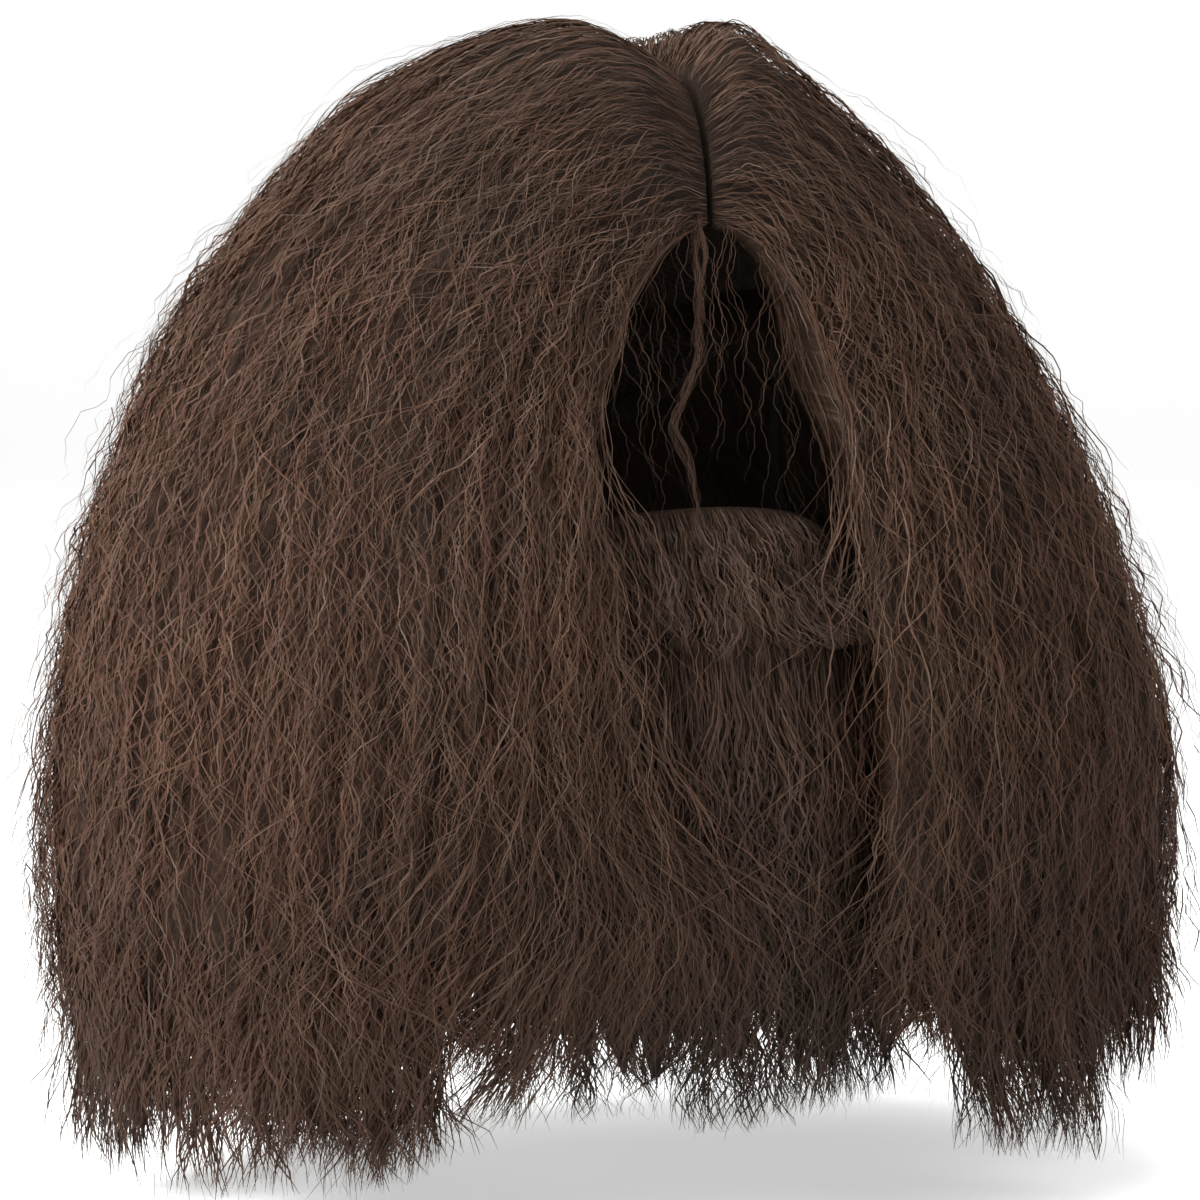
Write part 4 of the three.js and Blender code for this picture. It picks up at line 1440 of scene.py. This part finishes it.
@dataclass(frozen=True)
class ClothFinish:
    """The finish of a ribbed, netted or knitted cloth."""

    name: str
    dark: tuple[float, float, float, float]
    pale: tuple[float, float, float, float]
    across: float
    down: float
    relief: float = 0.5 * MM
    sheen: float = 0.06

    def build(self) -> bpy.types.Material:
        """Makes the material.

        Returns:
            The new material.
        """
        material = bpy.data.materials.new(self.name)
        material.use_nodes = True
        tree = material.node_tree
        graph = Graph(tree)
        shader = tree.nodes["Principled BSDF"]
        shader.inputs["Specular IOR Level"].default_value = 0.1
        shader.inputs["Sheen Weight"].default_value = self.sheen
        place = graph.node("ShaderNodeUVMap", uv_map="fibre").outputs[0]
        ribs = graph.node("ShaderNodeGroup", node_tree=Groups.RIBS)
        tree.links.new(place, ribs.inputs["Map"])
        for name in ("Across", "Down", "Dark", "Pale"):
            ribs.inputs[name].default_value = getattr(self, name.lower())
        bump = graph.node("ShaderNodeBump", {"Strength": 0.8, "Distance": self.relief})
        tree.links.new(ribs.outputs["Height"], bump.inputs["Height"])
        tree.links.new(ribs.outputs["Color"], shader.inputs["Base Color"])
        tree.links.new(ribs.outputs["Roughness"], shader.inputs["Roughness"])
        tree.links.new(bump.outputs[0], shader.inputs["Normal"])
        return material


@dataclass(frozen=True)
class Finishes:
    """All finishes of the wig, built once."""

    hair: bpy.types.Material
    hair_body: bpy.types.Material
    beard: bpy.types.Material
    beard_body: bpy.types.Material
    net: bpy.types.Material
    ribbon: bpy.types.Material
    cloth: bpy.types.Material
    strap: bpy.types.Material

    @staticmethod
    def mix() -> "Finishes":
        """Builds each finish.

        Returns:
            The finishes.
        """
        brown = {
            "deep": (0.018, 0.0092, 0.0052, 1.0),
            "main": (0.063, 0.0345, 0.0205, 1.0),
            "warm": (0.09, 0.0395, 0.0225, 1.0),
            "light": (0.2, 0.138, 0.1, 1.0),
        }
        shaded = {
            "deep": (0.006, 0.0033, 0.002, 1.0),
            "main": (0.032, 0.0168, 0.0098, 1.0),
            "warm": (0.052, 0.026, 0.0152, 1.0),
            "light": (0.085, 0.054, 0.037, 1.0),
        }
        dusk = {
            "deep": (0.009, 0.005, 0.0028, 1.0),
            "main": (0.05, 0.0265, 0.0155, 1.0),
            "warm": (0.082, 0.041, 0.0235, 1.0),
            "light": (0.16, 0.1, 0.068, 1.0),
        }
        return Finishes(
            hair=HairFinish("hair strands", **brown).build(),
            hair_body=HairFinish("packed hair", **shaded, packed=True, streaks=260.0, crimps=62.0).build(),
            beard=HairFinish("beard strands", **dusk, specular=0.22).build(),
            beard_body=HairFinish("packed beard", **shaded, packed=True, streaks=150.0, crimps=22.0).build(),
            net=ClothFinish(
                "cap net",
                dark=(0.006, 0.004, 0.0035, 1.0),
                pale=(0.045, 0.032, 0.026, 1.0),
                across=190.0,
                down=60.0,
            ).build(),
            ribbon=ClothFinish(
                "ribbon",
                dark=(0.008, 0.006, 0.005, 1.0),
                pale=(0.05, 0.036, 0.03, 1.0),
                across=320.0,
                down=6.0,
            ).build(),
            cloth=ClothFinish(
                "knitted cloth",
                dark=(0.01, 0.006, 0.005, 1.0),
                pale=(0.042, 0.028, 0.021, 1.0),
                across=150.0,
                down=44.0,
            ).build(),
            strap=ClothFinish(
                "elastic",
                dark=(0.004, 0.003, 0.0026, 1.0),
                pale=(0.022, 0.016, 0.013, 1.0),
                across=7.0,
                down=46.0,
            ).build(),
        )


def place(item: bpy.types.Object, material: bpy.types.Material, slot: Slot, *nodes: str) -> None:
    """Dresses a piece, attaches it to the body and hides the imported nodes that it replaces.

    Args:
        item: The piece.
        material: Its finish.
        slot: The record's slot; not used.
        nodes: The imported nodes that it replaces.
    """
    item.data.materials.append(material)
    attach(item, BODY)
    if nodes:
        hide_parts(*nodes)


@dataclass
class HairMass:
    """One of the five masses of frizzy hair: an under-body and the strands over it."""

    name: str
    number: int
    low: float
    high: float
    locks: int
    budget: int
    width: float
    spacing: float
    surface: SurfaceMap
    body_sink: float = 3 * MM
    lock_columns: int = 14
    body_rows: int = 36
    body_end: float = 0.955

    def __post_init__(self) -> None:
        """Prepares the combing."""
        self.combing = HairCombing(self.surface, self.number, self.low, self.high, self.locks)

    def build_body(self) -> bpy.types.Object:
        """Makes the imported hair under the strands.

        Returns:
            The under-body.
        """
        columns = self.locks * self.lock_columns + 1
        rounds, downs = lattice(self.low, self.high, columns, self.body_rows)
        surface, combing = self.surface, self.combing
        tuft = combing.tufts_at(rounds, StrandStyle.tips)
        notch = 1 - np.abs(np.sin(math.pi * tuft))
        ragged = 0.08 * chance(np.floor(tuft) + TUFT_KEY) + 0.025 * notch
        tooth = 0.5 + 0.5 * combing.fine(rounds * 420, downs * 0)
        ats = downs * (self.body_end - ragged - 0.04 * (1 - tooth))
        out, aside = surface.read("out", rounds, ats), surface.read("aside", rounds, ats)
        lumps = 2.5 * MM * combing.lumps_at(rounds, ats) * smooth(0, 0.3, ats)
        lift = combing.relief(rounds, ats) - self.body_sink * (0.25 + 0.75 * smooth(0, 0.15, ats)) + lumps
        outer = surface.read("outer", rounds, ats) + out * lift[..., None]
        outer = outer + aside * combing.lean(rounds, ats)[..., None]
        inner = surface.read("inner", rounds, ats)
        inner = inner + out * (2 * MM * smooth(0.4, 0.6, ats) * combing.fine(rounds * 50, ats * 9))[..., None]
        closing = (0.46 * smooth(0.82, 0.97, ats))[..., None]
        outer, inner = outer * (1 - closing) + inner * closing, inner * (1 - closing) + outer * closing
        return grid_object(self.name + "_body", outer, inner)

    def build_strands(self) -> bpy.types.Object:
        """Grows the mass's strands, up to its budget of triangles.

        Returns:
            The strands.
        """
        frizzy = StrandStyle(width=self.width, spacing=self.spacing)
        tipped = replace(frizzy, width=self.width + 0.4 * MM, spacing=6.5 * MM, ragged=0.13, stray=0.1)
        batches = [
            (Growth(0.1, 190 * MM, low_at=-0.006, high_at=0.012), frizzy),
            (Growth(0.16, 300 * MM, high_at=0.5), frizzy),
            (Growth(0.25, 190 * MM, high_at=0.85), frizzy),
            (Growth(0.16, 110 * MM, low_at=0.1, high_at=0.95), frizzy),
            (Growth(0.06, 170 * MM, low_at=0.62, high_at=0.95), frizzy),
            (Growth(0.3, 78 * MM, low_at=0.83, high_at=0.97, end=1.04, high_depth=0.8), tipped),
            (Growth(0.1, 170 * MM, low_at=0.5, high_at=0.95, low_depth=0.15, high_depth=0.95), frizzy),
            (
                Growth(0.04, 200 * MM, low_at=0.4, high_at=1.0, low_depth=1.0, high_depth=1.0, inside=True),
                frizzy,
            ),
        ]
        if self.low == 0 or self.high == 1:
            batches.append((Growth(0.12, 200 * MM, high_at=0.9, high_depth=1.0, edge=0.012), frizzy))
        if self.low == 0:
            loose = replace(frizzy, clump=0.2, stray=0.1, width=0.7 * MM)
            over_beard = Growth(0.2, 230 * MM, low_at=0.38, high_at=0.8, edge=0.02, spread=95 * MM)
            batches.append((over_beard, loose))
        strands = Strands()
        whole = sum(growth.share for growth, _ in batches)
        for growth, style in batches:
            count = int(self.budget * growth.share / whole / (2 * (style.steps(growth.length) - 1)))
            self.combing.grow(growth, style, count, self.low, self.high, strands)
        return strands.mesh(self.name + "_strands")

    def dress(self, finishes: Finishes) -> None:
        """Builds the mass and gives it its finishes.

        Args:
            finishes: The wig's finishes.
        """
        place(self.build_body(), finishes.hair_body, Slot.HAIR, self.name)
        place(self.build_strands(), finishes.hair, Slot.HAIR)


@dataclass
class BeardTier:
    """One tier of the beard: an under-body and the strands over it."""

    name: str
    form: BeardForm
    budget: int
    seed: int
    long: float
    short: float
    past: float = 1.0
    body_columns: int = 121
    body_rows: int = 24
    body_end: float = 1.0
    body_points: int = 11
    frizz: float = 1.0

    def dress(self, finishes: Finishes) -> None:
        """Builds the tier and gives it its finishes.

        Args:
            finishes: The wig's finishes.
        """
        surface = SurfaceMap(self.form)
        combing = Combing(surface, self.seed)
        rounds, downs = lattice(0, 1, self.body_columns, self.body_rows)
        height = 0.4 + 0.6 * chance(np.floor(rounds * self.body_points))
        point = np.abs(np.sin(math.pi * rounds * self.body_points)) * height
        ats = downs * (self.body_end - 0.2 * (1 - point) - 0.06 * chance(rounds * 977))
        out = surface.read("out", rounds, ats)
        sink = 3.5 * MM * smooth(0, 0.15, ats) + 0.5 * MM
        lumps = 2 * MM * combing.deep(rounds * 14, ats * 4) * smooth(0, 0.3, ats)
        outer = surface.read("outer", rounds, ats) + out * (lumps - sink)[..., None]
        inner = surface.read("inner", rounds, ats)
        closing = (0.45 * smooth(0.5, 1, ats))[..., None]
        outer, inner = outer * (1 - closing) + inner * closing, inner * (1 - closing) + outer * closing
        body = grid_object(self.name + "_body", outer, inner)
        place(body, finishes.beard_body, Slot.BEARD, self.name)
        wavy = StrandStyle(
            width=0.85 * MM,
            crimp=0.5 * MM,
            crimp_period=9 * MM,
            curl=2 * MM * self.frizz,
            curl_period=36 * MM,
            sway=5 * MM * self.frizz,
            stray=0.07 * self.frizz,
            clump=0.6,
            locks=13,
            lift=2.2 * MM,
            sink=2.5 * MM,
            root=6 * MM,
            tips=9,
            ragged=0.14,
        )
        strands = Strands()
        for growth in (
            Growth(0.14, self.long, high_at=0.01, end=self.past),
            Growth(0.26, self.long, high_at=0.25, end=self.past),
            Growth(0.26, self.short, high_at=0.95, end=self.past),
            Growth(0.12, 0.5 * self.short, low_at=0.72, high_at=0.96, end=self.past + 0.03, high_depth=0.8),
            Growth(0.12, self.short, low_at=0.3, high_at=1.0, low_depth=0.2, high_depth=1.0),
            Growth(0.12, self.long, high_at=0.5, high_depth=1.0, edge=0.03),
        ):
            count = int(self.budget * growth.share / (2 * (wavy.steps(growth.length) - 1)))
            combing.grow(growth, wavy, count, 0.0, 1.0, strands)
        place(strands.mesh(self.name + "_strands"), finishes.beard, Slot.BEARD)


@dataclass
class Forelock:
    """The wavy lock and the loose strands that hang over the face."""

    LOCK_STEPS = 60
    WISP_STEPS = 52

    surface: SurfaceMap
    length: float = 132 * MM
    radius: float = 3.0 * MM
    root_at: float = 0.03
    parts: int = 4
    strands: int = 30
    wisps: int = 48
    wisps_low: float = 0.175
    width: float = 0.3 * MM
    way: Levels = Levels(
        "at across out size",
        (
            (0, 0, 0, 0.8),
            (0.09, -0.034, 0.05, 1),
            (0.2, -0.063, 0.09, 0.95),
            (0.41, -0.065, 0.12, 0.9),
            (0.53, -0.139, 0.15, 0.9),
            (0.63, -0.246, 0.18, 0.85),
            (0.8, -0.189, 0.26, 0.65),
            (1, -0.199, 0.36, 0.3),
        ),
    )

    def dress(self, finishes: Finishes) -> None:
        """Builds the lock and the loose strands.

        Args:
            finishes: The wig's finishes.
        """
        rng = np.random.default_rng(41)
        strands = Strands()
        self.grow_lock(rng, strands)
        place(strands.mesh("forelock_strands"), finishes.hair, Slot.HAIR, "forelock")
        wisps = Strands()
        self.grow_wisps(rng, wisps)
        place(wisps.mesh("face_wisps"), finishes.hair, Slot.HAIR)

    def between(self, round_: np.ndarray, at: np.ndarray, depth: float) -> np.ndarray:
        """Points between the hair's outer and inner faces.

        Args:
            round_: Share of the way round.
            at: Share of a strand's length.
            depth: The place between the outer face, 0, and the inner face, 1.

        Returns:
            Points along the last axis.
        """
        outer, inner = self.surface.read("outer", round_, at), self.surface.read("inner", round_, at)
        return outer * (1 - depth) + inner * depth

    def grow_lock(self, rng: np.random.Generator, into: Strands) -> None:
        """Grows the strands of the lock.

        Args:
            rng: The random numbers.
            into: Where the strands go.
        """
        count = self.strands
        share = np.linspace(0, 1, self.LOCK_STEPS)[None, :]
        zero, at0 = np.zeros(1), np.full(1, self.root_at)
        root = self.between(zero, at0, 0.45)[0]
        end = rng.uniform(0.75, 1.0, count)[:, None]
        down = share * end
        part = rng.integers(0, self.parts, count)[:, None]
        twist = 1.8 * chance(part + 5.0)
        turn = 2 * math.pi * (part / self.parts + rng.normal(0, 0.05, (count, 1)) + twist * down)
        apart = np.sin(2 * math.pi * down * (1.3 + 0.4 * part) + part) ** 2
        radius = self.radius * self.way("size", down) * (0.35 + 0.9 * apart)
        phase = rng.uniform(0, 6.28, count)[:, None]
        crimp = 0.8 * MM * np.sin(2 * math.pi * down * self.length / (14 * MM) + phase)
        crimp = crimp + rng.normal(0, 0.9, count)[:, None] * MM * np.sin(2.2 * down + 5 * down**3)
        stray = np.where(rng.uniform(0, 1, count) < 0.2, rng.normal(0, 6, count), 0)[:, None] * MM
        crimp = crimp + stray * smooth(0.25, 1, down)
        x = root[0] + HEAD.half_width * self.way("across", down) + radius * np.cos(turn) + crimp
        y = root[1] - HEAD.front * self.way("out", down) + 0.7 * radius * np.sin(turn)
        z = root[2] - self.length * down + 6 * MM * (1 - share) ** 6
        self.add(rng, into, np.stack([x, y, z], -1))

    def grow_wisps(self, rng: np.random.Generator, into: Strands) -> None:
        """Grows single strands from the hair's edges over the face.

        Args:
            rng: The random numbers.
            into: Where the strands go.
        """
        count = self.wisps
        share = np.linspace(0, 1, self.WISP_STEPS)[None, :]
        right = rng.uniform(0, 1, count) < 0.55
        edge = np.where(right, 0.0, 1.0)
        root_at = rng.uniform(0.0, 0.3, count)
        root = self.between(edge, root_at, 0.4)
        length = np.minimum(rng.uniform(45, 130, count) * MM, self.wisps_low + root[:, 2])[:, None]
        inward = np.where(right, 1.0, -1.0)[:, None] * rng.uniform(-4, 14, count)[:, None] * MM
        curl = rng.uniform(1.5, 4.5, count)[:, None] * MM
        period = rng.uniform(28, 48, count)[:, None] * MM
        wave = 2 * math.pi * share * length / period + rng.uniform(0, 6.28, count)[:, None]
        phase = rng.uniform(0, 6.28, count)[:, None]
        crimp = 0.5 * MM * np.sin(2 * math.pi * share * length / (8 * MM) + phase)
        x = root[:, :1] + inward * smooth(0, 0.6, share) + curl * np.sin(wave) * smooth(0, 0.2, share) + crimp
        y = root[:, 1:2] - 14 * MM * smooth(0, 0.8, share) + 0.6 * curl * np.cos(wave)
        z = root[:, 2:] - length * share + 5 * MM * (1 - share) ** 6
        self.add(rng, into, np.stack([x, y, z], -1))

    def add(self, rng: np.random.Generator, into: Strands, path: np.ndarray) -> None:
        """Adds paths as thin ribbons that face the front.

        Args:
            rng: The random numbers.
            into: Where the strands go.
            path: The strands' points.
        """
        count, steps = path.shape[:2]
        way = unit(np.gradient(path, axis=1))
        roll = rng.normal(0, 0.6, count)[:, None]
        flat = np.stack([np.cos(roll), np.sin(roll), 0 * roll], -1) + 0 * path
        side = unit(flat - way * (flat * way).sum(-1, keepdims=True))
        taper = 1 - 0.8 * np.linspace(0, 1, steps)[None, :] ** 3
        tint = np.stack([rng.uniform(0, 0.7, count), rng.uniform(0, 1, count), np.zeros(count)], -1)
        into.add(path, side, self.width * rng.uniform(0.7, 1.2, count)[:, None] * taper, tint)


@dataclass
class Cap:
    """The net cap, the rows of weft that show inside it, and the ribbon in its rim."""

    wall: float = 1.6 * MM
    band_wall: float = 1.2 * MM
    band_height: float = 11 * MM
    gap: float = 0.4 * MM
    around: int = 120
    rows: int = 30
    weft_rows: int = 13
    weft_height: float = 1.0 * MM

    def dome(self, out: float, rows: int) -> np.ndarray:
        """A dome of points from the crown to the rim.

        Args:
            out: Distance out of the head's surface.
            rows: How many rows.

        Returns:
            The points, as (column, row, axis).
        """
        angle = np.linspace(0, 2 * math.pi, self.around, endpoint=False)[:, None]
        full = HEAD.crown_to_equator + out
        turn = np.arccos(np.clip(1 - (rim_drop(angle) + out) / full, -1, 1))
        drop = full * (1 - np.cos(turn * np.linspace(0.02, 1, rows)[None, :])) - out
        return HEAD.point(angle + 0 * drop, drop, out)

    def build_net(self) -> bpy.types.Object:
        """Makes the cap with its rows of weft raised on the inside.

        Returns:
            The cap.
        """
        outer, inner = self.dome(self.wall, self.rows * 2), self.dome(0.15 * MM, self.rows * 2)
        middle = np.array([0, 0, -HEAD.crown_to_equator])
        share = np.linspace(0, 1, self.rows * 2)[None, :]
        ridge = np.clip(np.sin(2 * math.pi * self.weft_rows * share) * 3 - 1.6, 0, 1)
        ridge = ridge * smooth(0.05, 0.1, share) * (1 - smooth(0.9, 0.92, share))
        inner = inner + unit(middle - inner) * (self.weft_height * ridge)[..., None]
        return grid_object("cap_net", outer, inner, closed=True)

    def build_band(self) -> bpy.types.Object:
        """Makes the ribbon round the inside of the rim.

        Returns:
            The ribbon.
        """
        angle = np.linspace(0, 2 * math.pi, self.around * 2, endpoint=False)[:, None]
        down = np.linspace(0, 1, 5)[None, :]
        drop = rim_drop(angle) - self.gap - self.band_height * (1 - down)
        swell = 0.25 * MM * np.sin(math.pi * down)
        outer = HEAD.point(angle + 0 * drop, drop, -self.gap)
        inner = HEAD.point(angle + 0 * drop, drop, -self.gap - self.band_wall)
        inner = inner * (1 - (swell / HEAD.half_width)[..., None] * np.array([1, 1, 0]))
        return grid_object("cap_band_ribbon", outer, inner, closed=True)

    def dress(self, finishes: Finishes) -> None:
        """Builds the cap and its ribbon.

        Args:
            finishes: The wig's finishes.
        """
        place(self.build_net(), finishes.net, Slot.NET, "cap")
        place(self.build_band(), finishes.ribbon, Slot.RIBBON, "cap_band")


@dataclass
class BeardPanel:
    """The knitted cloth panel that carries the beard, and the two bands that hold it."""

    columns: int = 90
    rows: int = 20
    gap: float = Cap.gap
    band_wall: float = Cap.band_wall
    strap_wall: float = 1.4 * MM
    strap_width: float = 12 * MM
    strap_lap: float = 13 * MM
    strap_place: float = math.radians(84)

    def build_panel(self) -> bpy.types.Object:
        """Makes the cloth panel with a rolled hem.

        Returns:
            The panel.
        """
        angle = PANEL.wrap * (1 - 2 * np.linspace(0, 1, self.columns)[:, None])
        top, low = PANEL.edges(angle)
        down = np.linspace(0, 1, self.rows)[None, :]
        drop = top + (low - top) * down
        hem = 0.35 * MM * (smooth(0.12, 0.04, down) + smooth(0.9, 0.96, down))
        faces = []
        for out, sign in ((PANEL.wall, 1), (0.0, -1)):
            sheet = PANEL.point(angle + 0 * drop, drop, out)
            flat = unit(sheet * np.array([1, 1, 0]))
            faces.append(sheet + flat * (sign * hem)[..., None] * (sign > 0))
        return grid_object("beard_backing_cloth", faces[0], faces[1])

    def build_strap(self, name: str, side: int) -> bpy.types.Object:
        """Makes one of the bands from the panel to the ribbon.

        Args:
            name: The piece's name.
            side: 1 for the wearer's right, -1 for the left.

        Returns:
            The band.
        """
        middle = side * self.strap_place
        half = self.strap_width / 2 / HEAD.front
        inside = -(2 * self.gap + self.band_wall + self.strap_wall)
        angle = middle + half * (1 - 2 * np.linspace(0, 1, 9)[:, None])
        down = np.linspace(0, 1, 40)[None, :]
        low = PANEL.edges(angle)[0] - self.gap
        high = rim_drop(np.array(middle)) - self.strap_lap
        drop = high + (low - high) * down
        share = smooth(0.25, 1, down)[..., None]
        ripple = 0.12 * MM * np.sin(down * 2 * math.pi * 24)
        faces = []
        for out in (self.strap_wall, 0.0):
            near = HEAD.point(angle + 0 * drop, drop, inside + out)
            far = PANEL.point(angle + 0 * drop, drop, out)
            sheet = near * (1 - share) + far * share
            faces.append(sheet + unit(sheet * np.array([1, 1, 0])) * (ripple + 0 * drop)[..., None])
        return grid_object(name, faces[0], faces[1])

    def dress(self, finishes: Finishes) -> None:
        """Builds the panel and its bands.

        Args:
            finishes: The wig's finishes.
        """
        place(self.build_panel(), finishes.cloth, Slot.CLOTH, "beard_backing")
        for name, side in (("beard_strap_right", 1), ("beard_strap_left", -1)):
            place(self.build_strap(name + "_band", side), finishes.strap, Slot.STRAP, name)


@dataclass
class Studio:
    """The pale floor, the soft light and the camera at the photo's angle."""

    azimuth: float = math.radians(-24)
    elevation: float = math.radians(4)
    distance: float = 2.2
    frame_width: float = PHOTO_SIDE * PIXEL
    aim_down: float = -(PHOTO_SIDE / 2 - 125) * PIXEL
    aim_aside: float = -20 * PIXEL
    floor_below: float = 30 * MM

    def dress(self) -> None:
        """Sets the floor, the lights, the world and the camera."""
        self.build_floor()
        self.build_lights()
        self.build_camera()

    def axes(self) -> tuple[Vector, Vector]:
        """The camera's directions back towards it and to its right.

        Returns:
            The two unit vectors.
        """
        flat = math.cos(self.elevation)
        back = Vector(
            (math.sin(self.azimuth) * flat, -math.cos(self.azimuth) * flat, math.sin(self.elevation))
        )
        return back, Vector((math.cos(self.azimuth), math.sin(self.azimuth), 0))

    def build_floor(self) -> None:
        """Makes the floor with a wide curve up at its edge."""
        level = CAD_BOX[0][2] - self.floor_below
        bend, size = 2.0, 9.0
        angles = np.linspace(0, math.pi / 2, 14)
        reach = np.concatenate([[0.0], size + bend * np.sin(angles)])
        height = np.concatenate([[0.0], bend * (1 - np.cos(angles))])
        turn = np.linspace(0, 2 * math.pi, 72, endpoint=False)[:, None]
        spread = [np.cos(turn) * reach[None, :], np.sin(turn) * reach[None, :], level + height[None, :]]
        outer = np.stack(np.broadcast_arrays(*spread), -1)
        floor = grid_object("floor", outer[:, ::-1], None, closed=True)
        floor.data.materials.append(self.floor_finish())

    @staticmethod
    def floor_finish() -> bpy.types.Material:
        """A plain pale finish.

        Returns:
            The material.
        """
        material = bpy.data.materials.new("pale floor")
        material.use_nodes = True
        shader = material.node_tree.nodes["Principled BSDF"]
        shader.inputs["Base Color"].default_value = (0.92, 0.92, 0.92, 1.0)
        shader.inputs["Roughness"].default_value = 0.9
        shader.inputs["Emission Color"].default_value = (1.0, 1.0, 1.0, 1.0)
        graph = Graph(material.node_tree)
        seen = graph.math("MULTIPLY", graph.node("ShaderNodeLightPath").outputs["Is Camera Ray"], 0.5)
        material.node_tree.links.new(seen, shader.inputs["Emission Strength"])
        return material

    def build_lights(self) -> None:
        """Sets a pale sky and three soft lamps."""
        world = bpy.data.worlds.new("studio")
        bpy.context.scene.world = world
        world.use_nodes = True
        world.node_tree.nodes["Background"].inputs["Color"].default_value = (1, 1, 1, 1)
        world.node_tree.nodes["Background"].inputs["Strength"].default_value = 0.5
        back, right = self.axes()
        middle = Vector((0, 0, self.aim_down))
        up = Vector((0, 0, 1))
        for name, spot, size, power in (
            ("key", back * 1.1 - right * 1.7 + up * 1.1, 1.0, 100),
            ("fill", back * 1.5 + right * 1.6 + up * 1.3, 1.4, 19),
            ("top", up * 1.9 + back * 0.3, 1.2, 30),
        ):
            lamp = bpy.data.lights.new(name, "AREA")
            lamp.size, lamp.energy = size, power
            item = bpy.data.objects.new(name, lamp)
            item.location = middle + spot
            item.rotation_euler = (-spot).to_track_quat("-Z", "Y").to_euler()
            bpy.context.scene.collection.objects.link(item)

    def build_camera(self) -> None:
        """Sets the camera at the photo's angle and framing."""
        back, right = self.axes()
        aim = Vector((0, 0, self.aim_down)) + right * self.aim_aside
        data = bpy.data.cameras.new("camera")
        data.sensor_width = 36
        data.lens = data.sensor_width * self.distance / self.frame_width
        camera = bpy.data.objects.new("camera", data)
        camera.location = aim + back * self.distance
        camera.rotation_euler = (-back).to_track_quat("-Z", "Y").to_euler()
        bpy.context.scene.collection.objects.link(camera)
        bpy.context.scene.camera = camera


def main() -> None:
    """Builds the wig piece by piece."""
    logging.basicConfig(level=logging.INFO, format="%(message)s")
    bpy.context.scene.view_settings.view_transform = "Standard"
    Studio().dress()
    finishes = Finishes.mix()
    hair = SurfaceMap(HairForm())
    # Name, low and high on the way round, locks, triangles, and the strands' width and spacing.
    masses = (
        ("hair_front_right", 0.0, 0.14, 7, 180000, 0.6 * MM, 4.0 * MM),
        ("hair_side_right", 0.14, 0.37, 10, 155000, 0.8 * MM, 4.6 * MM),
        ("hair_back", 0.37, 0.63, 12, 105000, 1.2 * MM, 5.6 * MM),
        ("hair_side_left", 0.63, 0.86, 10, 105000, 1.05 * MM, 5.2 * MM),
        ("hair_front_left", 0.86, 1.0, 7, 135000, 0.65 * MM, 4.2 * MM),
    )
    parts: list[HairMass | BeardTier | Forelock | Cap | BeardPanel] = [
        HairMass(name, number, *row, hair)
        for number, (name, *row) in enumerate(masses)
    ]
    parts.append(Forelock(hair))
    parts.append(Cap())
    parts.append(BeardPanel())
    parts.append(
        BeardTier(
            "moustache",
            BeardForm(top=PANEL.top, bottom=217 * MM),
            budget=46000,
            seed=501,
            long=62 * MM,
            short=44 * MM,
            past=1.35,
            frizz=0.4,
        )
    )
    parts.append(
        BeardTier(
            "beard_hair",
            BeardForm(top=220 * MM, bottom=418 * MM),
            budget=96000,
            seed=601,
            long=190 * MM,
            short=110 * MM,
            past=1.08,
        )
    )
    for part in parts:
        part.dress(finishes)
        LOG.info("built %s", getattr(part, "name", type(part).__name__))
    shown = [o for o in bpy.context.scene.objects if o.type == "MESH" and not o.hide_render]
    LOG.info("triangles, roughly: %d", sum(2 * len(o.data.polygons) for o in shown))
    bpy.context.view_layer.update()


if __name__ == "__main__":
    main()
